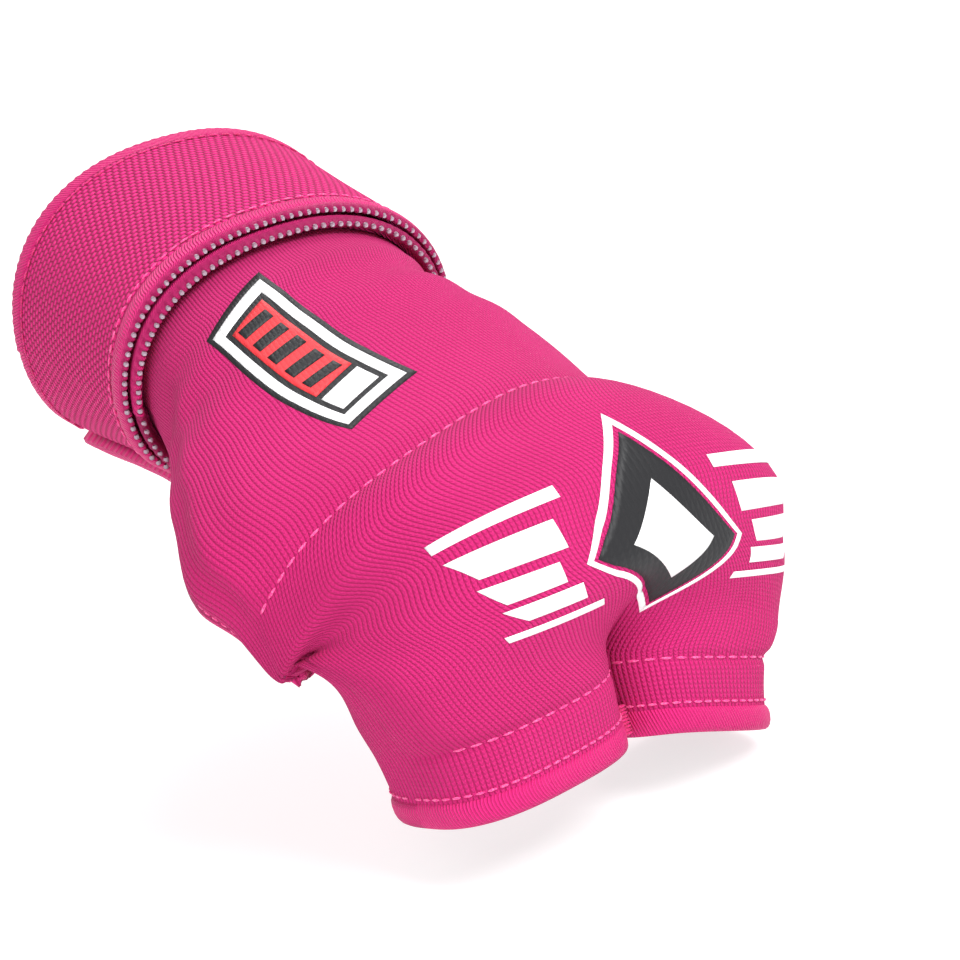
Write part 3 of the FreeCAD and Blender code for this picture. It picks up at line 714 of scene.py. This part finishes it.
def sleeve():
    """The knitted sleeve: one tube that forks into two, with the thumb hole cut out."""
    columns = np.arange(COLUMNS)
    v = columns / COLUMNS
    body_s = np.concatenate([np.linspace(1.5, 50, CUFF_ROWS), np.linspace(50.8, CROTCH, BODY_ROWS)])
    s_grid, v_grid = np.meshgrid(body_s, v, indexing="ij")
    body = knit_point(s_grid, v_grid)
    tube_s = np.linspace(CROTCH, FINGER_EDGE - 1.2, TUBE_ROWS)
    lanes = {"A": np.arange(-SPLIT_COLUMN, SPLIT_COLUMN + 1) % COLUMNS,
             "B": np.arange(SPLIT_COLUMN, COLUMNS - SPLIT_COLUMN + 1)}
    points, faces = [body.reshape(-1, 3)], grid_faces(*s_grid.shape, wrap=True)
    lengths = arc_lengths(body, 0)
    around = arc_lengths(np.concatenate([body, body[:, :1]], axis=1), 1)
    turn = around[:, :-1] / around[:, -1:] * WALES
    uvs = [np.stack([turn, lengths], -1).reshape(-1, 2)]
    base = body.shape[0] * COLUMNS
    for pair, lane in lanes.items():
        lane_v = lane / COLUMNS
        gs, gv = np.meshgrid(tube_s, lane_v, indexing="ij")
        tube = knit_point(gs, gv, 0.0, pair, tube_gap(gs))
        web = np.stack([tube[:, -1] * (1 - t) + tube[:, 0] * t for t in (0.25, 0.5, 0.75)], 1)
        ring = np.concatenate([tube, web], axis=1)
        points.append(ring.reshape(-1, 3))
        faces += grid_faces(*ring.shape[:2], wrap=True, start=base)
        run = arc_lengths(ring, 0) + lengths[-1, lane[len(lane) // 2]]
        start = turn[-1, lane]
        start = np.concatenate([start, start[-1] + np.arange(1, 4)])
        if pair == "A":
            start = np.where(start > WALES / 2, start, start + WALES)
        uvs.append(np.stack([np.broadcast_to(start, run.shape), run], -1).reshape(-1, 2))
        base += ring.shape[0] * ring.shape[1]
    obj = make_object("sleeve", np.concatenate(points), faces, np.concatenate(uvs))
    mend_seam_map(obj)
    cut_thumb_hole(obj, body_s)
    clean(obj, WELD * 1.5)
    thick = obj.modifiers.new("thickness", "SOLIDIFY")
    thick.thickness = KNIT * MM
    thick.offset = -1.0
    thick.use_rim = True
    return bake_modifiers(obj)


def mend_seam_map(obj):
    """Keeps the map running on across the column where the count starts again."""
    layer = obj.data.uv_layers[0].data
    for polygon in obj.data.polygons:
        values = [layer[k].uv[0] for k in polygon.loop_indices]
        if max(values) - min(values) > WALES / 2:
            for k in polygon.loop_indices:
                if layer[k].uv[0] < WALES / 2:
                    layer[k].uv[0] += WALES


def cut_thumb_hole(obj, body_s):
    """Removes the faces of the sleeve inside the thumb hole."""
    work = bmesh.new()
    work.from_mesh(obj.data)
    work.faces.ensure_lookup_table()
    doomed = []
    half = (HOLE_HALF[0] - HOLE_MARGIN, HOLE_HALF[1] - HOLE_MARGIN / HOLE_GIRTH)
    for face in work.faces:
        index = [vert.index for vert in face.verts]
        if max(index) >= len(body_s) * COLUMNS or max(index) % COLUMNS - min(index) % COLUMNS > 2:
            continue
        s = np.mean([body_s[k // COLUMNS] for k in index]) - HOLE_CENTRE[0]
        v = np.mean([(k % COLUMNS) / COLUMNS for k in index]) - HOLE_CENTRE[1]
        if (s / half[0]) ** 2 + (v / half[1]) ** 2 < 1:
            doomed.append(face)
    bmesh.ops.delete(work, geom=doomed, context="FACES")
    work.to_mesh(obj.data)
    work.free()


def hole_edge(turn, grow):
    """Distance and share of the way round on the edge of the thumb hole."""
    angle = 2 * np.pi * turn
    return (HOLE_CENTRE[0] + (HOLE_HALF[0] + grow) * np.cos(angle),
            HOLE_CENTRE[1] + (HOLE_HALF[1] + grow / HOLE_GIRTH) * np.sin(angle))


def thumb_hole_binding():
    """Rolled satin tape round the thumb hole."""
    def point(a, b, t):
        here = knit_point(*hole_edge(t, 0.0), -KNIT / 2)
        out = unit(knit_point(*hole_edge(t, 0.0), -KNIT / 2 + 1.0) - here)
        wide = knit_point(*hole_edge(t, 1.0), -KNIT / 2) - here
        wide = unit(wide - out * np.sum(wide * out, axis=-1, keepdims=True))
        return here + wide * a[..., None] + out * b[..., None]
    stations = np.arange(180) / 180
    return profile_sweep("thumb_hole_binding", oval(1.9, 1.6, 14, 2.2), stations, True, point)


# ---- finger bindings ----
def tube_point(pair, s, turn, lift):
    """Point of a finger tube; turn runs once round it."""
    turn = np.mod(turn, 1.0)
    if pair == "A":
        v = np.where(turn < 0.5, turn * 2 * VS, 1 - (1 - turn) * 2 * VS)
    else:
        v = VS + turn * (1 - 2 * VS)
    return knit_point(s, v, lift, pair, tube_gap(s))


def finger_binding(pair, name):
    """Bulged satin tape folded over the edge of a finger tube."""
    profile = oval(2.55, 1.45, 18, 2.4)

    def point(a, b, t):
        return tube_point(pair, FINGER_EDGE - 2.35 + a, t, b - 0.75)
    return profile_sweep(name, profile, np.arange(220) / 220, True, point)


# ---- strap ----
def strap_lift(v, wrap=False):
    """The tail rides up over its hook patch; the start of the second turn is drawn in.

    A strap that goes all the way round lies flat."""
    if wrap:
        return 0
    return TAIL_LIFT * ramp(v, TAIL_FROM, TAIL_BREAK) - TURN_DIP * ramp(-v, 0.06, -TURN_START)


def band(name, span, v_range, layers, wrap=False):
    """Woven band between its two edge tapes."""
    low, high = layers
    half = ((span[1] - span[0]) / 2 - EDGE_TAPE * 0.75, (high - low) / 2)
    middle = (span[0] + span[1]) / 2
    a = np.linspace(-half[0], half[0], BAND_COLUMNS)
    b = np.full(BAND_COLUMNS, half[1])
    profile = np.concatenate([np.stack([a, b], 1), np.stack([a[::-1], -b], 1)])

    def point(p, q, t):
        ripple = 0.16 * np.sin(9 * math.pi * t + 0.05 * p) * np.cos(0.11 * p) * (0 if wrap else 1)
        return surf(middle + p, t, (low + high) / 2 + q + strap_lift(t, wrap) + ripple)
    count = int((v_range[1] - v_range[0]) * BAND_ROWS) + 3
    stations = np.linspace(*v_range, count, endpoint=not wrap)
    return profile_sweep(name, profile, stations, wrap, point)


def edge_path(edge, v, wrap):
    """Points along a strap edge."""
    return surf(edge[0], v, edge[1] + strap_lift(v, wrap))


def rim_tape(name, outline, v_range, wrap=False):
    """Tape sewn over an edge of the strap, gathered into small ribs at the rim."""
    outline = smooth_loop(outline)
    heart = outline.mean(0)
    rim = np.argmax(np.abs(outline[:, 0] - STRAP_WIDTH / 2))
    count = int((v_range[1] - v_range[0]) * TAPE_ROWS) + 3
    stations = np.linspace(*v_range, count, endpoint=not wrap)
    run = arc_lengths(edge_path(outline[rim], stations, wrap))

    def point(a, b, t):
        reach = np.hypot(a - outline[rim][0], b - outline[rim][1])
        swing = 1 + RIB_DEPTH * np.exp(-(reach / 1.5) ** 2) * np.cos(2 * math.pi * run / DOT_PITCH)[:, None]
        s = heart[0] + (a - heart[0]) * swing
        off = heart[1] + (b - heart[1]) * swing
        return surf(s, t, off + strap_lift(t, wrap))
    return profile_sweep(name, outline, stations, wrap, point)


def smooth_loop(corners):
    """Evenly spaced points on a smooth closed curve through corners."""
    c = np.array(corners, float)
    pieces = []
    for k in range(len(c)):
        p0, p1, p2, p3 = c[k - 1], c[k], c[(k + 1) % len(c)], c[(k + 2) % len(c)]
        t = np.linspace(0, 1, 12, endpoint=False)[:, None]
        pieces.append(0.5 * (2 * p1 + (p2 - p0) * t + (2 * p0 - 5 * p1 + 4 * p2 - p3) * t ** 2
                             + (3 * p1 - p0 - 3 * p2 + p3) * t ** 3))
    path = np.concatenate(pieces + [pieces[0][:1]])
    run = arc_lengths(path)
    return spots(np.linspace(0, run[-1], OUTLINE_POINTS, endpoint=False), run, path)


def stitch_ends(path, pitch, length):
    """Starts and ends of the stitches along a path."""
    run = arc_lengths(path)
    middles = np.arange(pitch / 2, run[-1] - pitch / 2, pitch)
    return spots(middles - length / 2, run, path), spots(middles + length / 2, run, path)


def stitches(name, paths, style):
    """Stitches one after another along each path, as one piece."""
    pitch, length, radius = style
    starts, ends = zip(*(stitch_ends(path, pitch, length) for path in paths))
    return capsules(name, np.concatenate(starts), np.concatenate(ends), radius)


def dots(name, edge, v_range):
    """Row of cut rubber ends along a strap rim."""
    wrap = v_range[1] - v_range[0] > 0.99
    path = edge_path(edge, np.linspace(*v_range, TAPE_ROWS), wrap)
    run = arc_lengths(path)
    return beads(name, spots(np.arange(DOT_PITCH / 2, run[-1], DOT_PITCH), run, path), DOT_RADIUS)


# ---- placing the pieces and what they are made of ----
def centre(s):
    """Point of the centre line, in metres."""
    return [float(x) * MM for x in spots(s, SPINE_S, SPINE)]


def bend(obj):
    """Bakes the piece's placement into its mesh."""
    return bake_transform(obj)


def dress(obj, *names, nodes=None):
    """Gives a piece its materials, and hides the solids it stands for: by default its namesake."""
    for name in names:
        obj.data.materials.append(STUFF[name][0])
    if nodes is None:
        nodes = (obj.name.split(".")[0],)
    if nodes:
        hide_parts(*nodes)
    return obj


# ---- printed label and knuckle graphic ----
def between(corners, a, b):
    """Point at the shares a and b between four corners."""
    return (corners[0] * (1 - a) * (1 - b) + corners[1] * a * (1 - b)
            + corners[2] * a * b + corners[3] * (1 - a) * b)


def ink(name, patches, at, size):
    """Thin printed layers; each patch is four corners, a material number and a level."""
    points, faces, uvs, numbers = [], [], [], []
    start = 0
    for corners, number, level in patches:
        c = np.array(corners, float)
        long = max(np.linalg.norm((c[1] - c[0]) * size), np.linalg.norm((c[2] - c[3]) * size))
        tall = max(np.linalg.norm((c[3] - c[0]) * size), np.linalg.norm((c[2] - c[1]) * size))
        rows, columns = int(long / INK_CELL) + 2, int(tall / INK_CELL) + 2
        a, b = np.meshgrid(np.linspace(0, 1, rows), np.linspace(0, 1, columns), indexing="ij")
        spot = between(c, a[..., None], b[..., None])
        s, v = at(spot[..., 0], spot[..., 1])
        top = INK_LIFT + INK_STEP * level
        for lift in (top - INK_STEP, top):
            points.append(knit_point(s, v, lift).reshape(-1, 3))
            uvs.append(np.stack([v * WALES, s], -1).reshape(-1, 2))
        new = slab_faces(rows, columns, start)
        faces += new
        numbers += [number] * len(new)
        start += 2 * rows * columns
    obj = make_object(name, np.concatenate(points), faces, np.concatenate(uvs))
    obj.data.polygons.foreach_set("material_index", numbers)
    return clean(obj, 0)


def box_corners(p0, p1, q0, q1, lean=0.0):
    """Corners of a box, its first side moved along by lean."""
    return ((p0 + lean, q0), (p1 + lean, q0), (p1, q1), (p0, q1))


def label_at(p, q):
    """Distance and share of the way round for a place on the label."""
    spot = between(np.array(LABEL), p[..., None], q[..., None])
    return spot[..., 0], spot[..., 1]


def back_patch():
    """Printed label: black, with a white frame, a barred red field and a white end block."""
    black, white, red = 0, 1, 2
    patches = [(box_corners(0, 1, 0, 1), black, 0),
               (box_corners(0.035, 0.965, 0.06, 0.17), white, 1),
               (box_corners(0.035, 0.965, 0.83, 0.94), white, 1),
               (box_corners(0.035, 0.095, 0.17, 0.83), white, 1),
               (box_corners(0.905, 0.965, 0.17, 0.83), white, 1),
               (box_corners(0.125, 0.70, 0.235, 0.765), red, 1),
               (box_corners(0.735, 0.875, 0.235, 0.765), white, 1)]
    for n in range(LABEL_BARS):
        start = 0.155 + n * 0.108
        patches.append((box_corners(start - 0.012, start + 0.046, 0.30, 0.70, 0.035), black, 2))
    return ink("back_patch", patches, label_at, LABEL_SIZE)


def emblem_at(u, w):
    """Distance and share of the way round; u runs across the hand, w along it, in millimetres."""
    v = EMBLEM[1] + u / EMBLEM_TURN
    return EMBLEM[0] + w + np.where(u > 0, -0.085, 0.055) * u, v


def knuckle_print():
    """Printed knuckle graphic: a black lozenge with a white one inside, between white stripes."""
    white, black = 0, 1
    patches = []
    for side, reach in ((-1, 32.0), (1, 36.0)):
        for low, high, near, far in ((-6.3, -5.3, 11.5, reach), (5.3, 6.3, 11.5, reach - 2.5),
                                     (-4.1, -1.9, 14.2, reach - 2), (-1.1, 1.1, 16.4, reach - 4),
                                     (1.9, 4.1, 14.2, reach - 6)):
            taper = 1.6 if high - low > 2 else 0.0
            corners = ((side * near, low), (side * (far + taper), low),
                       (side * (far - taper), high), (side * near, high))
            patches.append((corners, white, 1))
    patches += lozenge(12.8, 10.6, 11.7, 9.6, white, 1)
    patches += [(((-11.0, 0), (0, -9.0), (11.0, 0), (0, 9.0)), black, 1)]
    patches += [(((-6.4, 0), (0, -5.2), (6.4, 0), (0, 5.2)), white, 2)]
    return ink("knuckle_print", patches, emblem_at, 1.0)


def lozenge(wide, tall, wide_in, tall_in, number, level):
    """Four strips round a lozenge."""
    outer = [(-wide, 0.0), (0.0, -tall), (wide, 0.0), (0.0, tall)]
    inner = [(-wide_in, 0.0), (0.0, -tall_in), (wide_in, 0.0), (0.0, tall_in)]
    return [((outer[k - 4], outer[k - 3], inner[k - 3], inner[k - 4]), number, level) for k in range(4)]


# ---- padding ----
def pad_layer(name, top, thick, inset):
    """One layer of the padding under the knuckle cover."""
    ss = np.linspace(PAD_SPAN[0] + inset, PAD_SPAN[1] - inset, 24)
    vs = np.linspace(PAD_V[0] + inset * PAD_INSET, PAD_V[1] - inset * PAD_INSET, 70)

    def soft(s, v):
        edge = np.minimum(np.minimum(s - ss[0], ss[-1] - s) / 2.5, np.minimum(v - vs[0], vs[-1] - v) * 80)
        return np.clip(edge, 0.15, 1) ** 0.5

    def low(s, v):
        return knit_off(s, v) - KNIT - top - thick * (0.5 + 0.5 * soft(s, v))

    def high(s, v):
        return knit_off(s, v) - KNIT - top - thick * (0.5 - 0.5 * soft(s, v))
    return shell(name, ss, vs, low, high)


# ---- build ----
def build_hand():
    """The sleeve with its prints, seams and the rolled tape of the thumb hole."""
    knit = ("sleeve_cuff", "back_panel", "palm_panel", "side_seam", "thumb_side_seam", "knuckle_cover",
            "palm_crease_panel", "index_middle_tube", "ring_little_tube")
    obj = bend(dress(sleeve(), "knit", nodes=knit))
    bend(dress(thumb_hole_binding(), "tape"))
    bend(dress(hole_stitches(), "thread"))
    bend(dress(back_patch(), "black", "white", "red"))
    bend(dress(knuckle_print(), "white", "black"))
    bend(dress(pad_seam(), "thread"))
    bend(dress(seam_stitches(), "thread_deep", nodes=()))


def hole_stitches():
    """Short slanted stitches beside the rolled tape of the thumb hole."""
    turn = (np.arange(HOLE_STITCHES) + 0.5) / HOLE_STITCHES
    near = hole_edge(turn - 0.003, 1.7)
    far = hole_edge(turn + 0.003, 3.0)
    return capsules("thumb_binding_stitches", knit_point(*near, 0.15), knit_point(*far, 0.1), 0.22)


def pad_seam():
    """Dashed seam across the back of the hand, behind the padding."""
    v = np.linspace(0.03, 0.475, PATH_POINTS)
    return stitches("pad_seam_stitches", [knit_point(seam_s(v), v, 0.12)], PAD_STITCH)


def seam_stitches():
    """Overlocked seam down the little-finger side."""
    s = np.arange(54.0, 135.0, 0.9)
    return capsules("side_seam_stitches", knit_point(s, 0.497, 0.1), knit_point(s + 0.7, 0.506, 0.1), 0.3)


def patch(name, ss, vs, low, high):
    """Flat closed patch between two heights."""
    return shell(name, ss, vs, lambda s, v: low, lambda s, v: high)


def build_strap():
    """Both turns of the strap with their tapes, stitches, rubber ends and the loop patch."""
    whole, part = (0.0, 1.0), (TURN_START, TURN_TO)
    inner = dress(band("strap_inner_turn", INNER_SPAN, whole, INNER_TURN, True), "weave")
    outer = dress(band("strap_outer_turn", OUTER_SPAN, part, OUTER_TURN), "weave")
    front = dress(rim_tape("outer_front_tape", OUTER_FRONT, part), "tape")
    rear = dress(rim_tape("outer_rear_tape", OUTER_REAR, part), "tape")
    under = rim_tape("inner_front_tape", INNER_FRONT, whole, True)
    dress(under, "tape", nodes=("inner_edge_tapes",))
    under_rear = dress(rim_tape("inner_rear_tape", INNER_REAR, whole, True), "tape", nodes=())
    line = strap_line("strap_edge_stitches", (TURN_START + 0.004, TURN_TO - 0.004))
    dress(line, "thread", "thread_deep")
    anchor = dress(anchor_stitches(), "thread")
    loop = patch("loop_patch", np.linspace(8, 44, 20), np.linspace(0.72, 0.895, 40),
                 INNER_TURN[1] + 0.05, INNER_TURN[1] + 0.42)
    dress(loop, "loop")
    ends = dress(dots("outer_rubber_ends", OUTER_DOTS, part), "dots", nodes=())
    more = dress(dots("inner_rubber_ends", INNER_DOTS, whole), "dots", nodes=())
    for obj in (inner, outer, front, rear, under, under_rear, line, anchor, loop, ends, more):
        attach(obj, "hand")


def strap_line(name, v_range):
    """Stitch lines along both edges of the woven strap, as one piece: one pale, one deep."""
    v = np.linspace(*v_range, PATH_POINTS)
    paths = [surf(s, v, OUTER_TURN[1] + STITCH_RISE + strap_lift(v)) for s in STITCH_LINES]
    obj = stitches(name, paths, STRAP_STITCH)
    pale = len(stitch_ends(paths[0], *STRAP_STITCH[:2])[0]) * STITCH_FACES
    deep = np.arange(len(obj.data.polygons)) >= pale
    obj.data.polygons.foreach_set("material_index", deep.astype(np.int32))
    return obj


def anchor_stitches():
    """Rows that hold the start of the strap to the sleeve, under the second turn."""
    v = np.linspace(0.02, 0.09, 60)
    paths = [surf(s, v, INNER_TURN[1] + 0.15) for s in ANCHOR_LINES]
    return stitches("strap_anchor_stitches", paths, ANCHOR_STITCH)


def tail_tip():
    """Tape folded over the free end of the strap."""
    ss = np.linspace(0.1, STRAP_WIDTH - 0.1, 60)
    vs = np.linspace(TAIL_TO - TIP_WIDTH, TAIL_TO, 14)

    def swell(s, v):
        edge = np.minimum(ramp(v, vs[0], vs[0] + TIP_EDGE), 1 - ramp(v, vs[-1] - TIP_EDGE, vs[-1]))
        return (0.15 + 0.5 * edge) * (1 + 0.12 * np.sin(s * 2 * math.pi / DOT_PITCH))
    middle = (OUTER_TURN[0] + OUTER_TURN[1]) / 2 + TAIL_LIFT
    half = (OUTER_TURN[1] - OUTER_TURN[0]) / 2 * 0.9
    return shell("tail_tip_tape", ss, vs, lambda s, v: middle - half - swell(s, v),
                 lambda s, v: middle + half + swell(s, v))


def to_root(obj):
    """Bakes the placement of a piece of the tail's root into its mesh."""
    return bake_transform(obj)


def to_end(obj):
    """Bakes the placement of a piece of the tail's free end into its mesh."""
    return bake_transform(obj)


def build_tail():
    """The strap tail: its root, and its free end with the hook patch."""
    for part, v_range, move in (("tail_root", (TURN_TO, TAIL_MIDDLE), to_root),
                                ("tail_end", (TAIL_MIDDLE, TAIL_TO - 0.01), to_end)):
        woven = dress(band(part + "_band", OUTER_SPAN, v_range, OUTER_TURN), "weave")
        move(woven)
        move(dress(rim_tape(part + "_front_tape", OUTER_FRONT, v_range), "tape", nodes=(part + "_tapes",)))
        move(dress(rim_tape(part + "_rear_tape", OUTER_REAR, v_range), "tape", nodes=()))
        line = strap_line(part + "_stitches", (v_range[0] + 0.004, v_range[1] - 0.006))
        move(dress(line, "thread", "thread_deep", nodes=()))
        move(dress(dots(part + "_rubber_ends", OUTER_DOTS, v_range), "dots", nodes=()))
    tip = dress(tail_tip(), "tape", nodes=())
    top = OUTER_TURN[0] + TAIL_LIFT - 0.1
    hook = patch("hook_patch", np.linspace(9, 43, 18), np.linspace(TAIL_ON + 0.008, TAIL_TO - 0.016, 30),
                 top - 0.5, top)
    dress(hook, "hook")
    v = np.linspace(TAIL_ON + 0.006, TAIL_TO - 0.018, 80)
    paths = [surf(s, v, OUTER_TURN[1] + TAIL_LIFT + STITCH_RISE) for s in HOOK_LINES]
    sewn = dress(stitches("hook_patch_stitches", paths, STRAP_STITCH), "thread")
    for obj in (tip, hook, sewn):
        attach(obj, "tail_end")


def build_padding():
    """Gel, foam and liner inside the knuckle cover."""
    for name, top, thick, inset, stuff in (("gel_pad", 0.15, 3.2, 0.0, "gel"),
                                           ("foam_backing", 3.5, 1.9, 0.6, "foam"),
                                           ("pocket_liner", 5.5, 0.7, -0.6, "lining")):
        obj = dress(pad_layer(name, top, thick, inset), stuff)
        bend(obj)


def bar_tack():
    """Dense stitches that lock the two finger tubes together at their edge."""
    starts, ends = [], []
    for sign in (0.05, -0.05):
        for s in np.linspace(FINGER_EDGE - 6.0, FINGER_EDGE - 1.0, 9):
            starts.append(tube_point("A", np.array([s]), np.array([0.5 - sign]), 0.25)[0])
            ends.append(tube_point("B", np.array([s]), np.array([sign]), 0.25)[0])
    return capsules("divider_bar_tack", starts, ends, 0.34)


def build_fingers():
    """Tapes and stitches round the two finger openings."""
    for pair, name in (("A", "index_middle"), ("B", "ring_little")):
        bend(dress(finger_binding(pair, name + "_binding"), "tape"))
        path = tube_point(pair, FINGER_EDGE - 5.6, np.linspace(0.0, 1.0, 500), 0.14)
        top = stitches(name + "_binding_stitches", [path], TUBE_STITCH)
        bend(dress(top, "thread", nodes=("finger_binding_stitches",) * (pair == "A")))
        path = tube_point(pair, LOWER_SEAM, np.linspace(*LOWER_SEAM_TURN[pair], PATH_POINTS), 0.14)
        low = stitches(name + "_pad_stitches", [path], LOWER_STITCH)
        bend(dress(low, "thread", nodes=("lower_pad_stitches",) * (pair == "A")))
    bend(dress(bar_tack(), "thread_deep"))


# ---- camera, lights and floor ----
def set_camera():
    """Looks at the knuckles from the front, a little from the thumb side and above."""
    turn, height, roll = (math.radians(x) for x in CAMERA_TURN)
    back = Vector((math.sin(turn) * math.cos(height), -math.cos(turn) * math.cos(height), math.sin(height)))
    level = Vector((math.cos(turn), math.sin(turn), 0))
    upright = back.cross(level)
    right = level * math.cos(roll) + upright * math.sin(roll)
    up = upright * math.cos(roll) - level * math.sin(roll)
    look = (-back + right * CAMERA_AIM[0] + up * CAMERA_AIM[1]).normalized()
    right = look.cross(up).normalized()
    up = right.cross(look)
    data = bpy.data.cameras.new("camera")
    data.lens = CAMERA_LENS
    data.sensor_width = CAMERA_SENSOR
    data.clip_start, data.clip_end = CAMERA_CLIP
    camera = bpy.data.objects.new("camera", data)
    bpy.context.scene.collection.objects.link(camera)
    turned = Matrix((right, up, -look)).transposed().to_4x4()
    turned.translation = Vector(CAMERA_TARGET) * MM + back * CAMERA_DISTANCE * MM
    camera.matrix_world = turned
    bpy.context.scene.camera = camera


def lamp(name, spot, size, power):
    """Soft rectangular light aimed at the wrap."""
    data = bpy.data.lights.new(name, "AREA")
    data.size = size
    data.energy = power
    obj = bpy.data.objects.new(name, data)
    bpy.context.scene.collection.objects.link(obj)
    obj.location = spot
    aim = Vector(LIGHT_TARGET) - Vector(spot)
    obj.rotation_mode = "QUATERNION"
    obj.rotation_quaternion = aim.to_track_quat("-Z", "Y")


def set_stage():
    """Pale floor, white surroundings and soft lights."""
    low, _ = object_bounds()
    half = FLOOR_HALF
    corners = [(-half, -half, 0), (half, -half, 0), (half, half, 0), (-half, half, 0)]
    mesh = bpy.data.meshes.new("floor")
    mesh.from_pydata(corners, [], [(0, 1, 2, 3)])
    floor = bpy.data.objects.new("floor", mesh)
    floor.location = (0, 0, low.z - FLOOR_GAP)
    bpy.context.scene.collection.objects.link(floor)
    g = Graph("pale floor")
    g.shader.inputs["Base Color"].default_value = (0.45, 0.45, 0.45, 1)
    g.shader.inputs["Roughness"].default_value = 0.9
    g.shader.inputs["Emission Color"].default_value = (1, 1, 1, 1)
    g.shader.inputs["Emission Strength"].default_value = FLOOR_GLOW
    floor.data.materials.append(g.material)
    world = bpy.data.worlds.new("white room")
    world.use_nodes = True
    colour, strength = world.node_tree.nodes["Background"].inputs[:2]
    colour.default_value = (1, 1, 1, 1)
    strength.default_value = WORLD_LIGHT
    bpy.context.scene.world = world
    bpy.context.scene.view_settings.view_transform = "Standard"
    lamp("key", (0.55, 0.30, 0.75), 0.55, KEY_POWER)
    lamp("fill", (0.75, -0.45, 0.25), 0.8, FILL_POWER)
    lamp("rim", (-0.45, 0.35, 0.55), 0.5, RIM_POWER)


def main():
    build_hand()
    build_strap()
    build_tail()
    build_padding()
    build_fingers()
    set_camera()
    set_stage()


main()
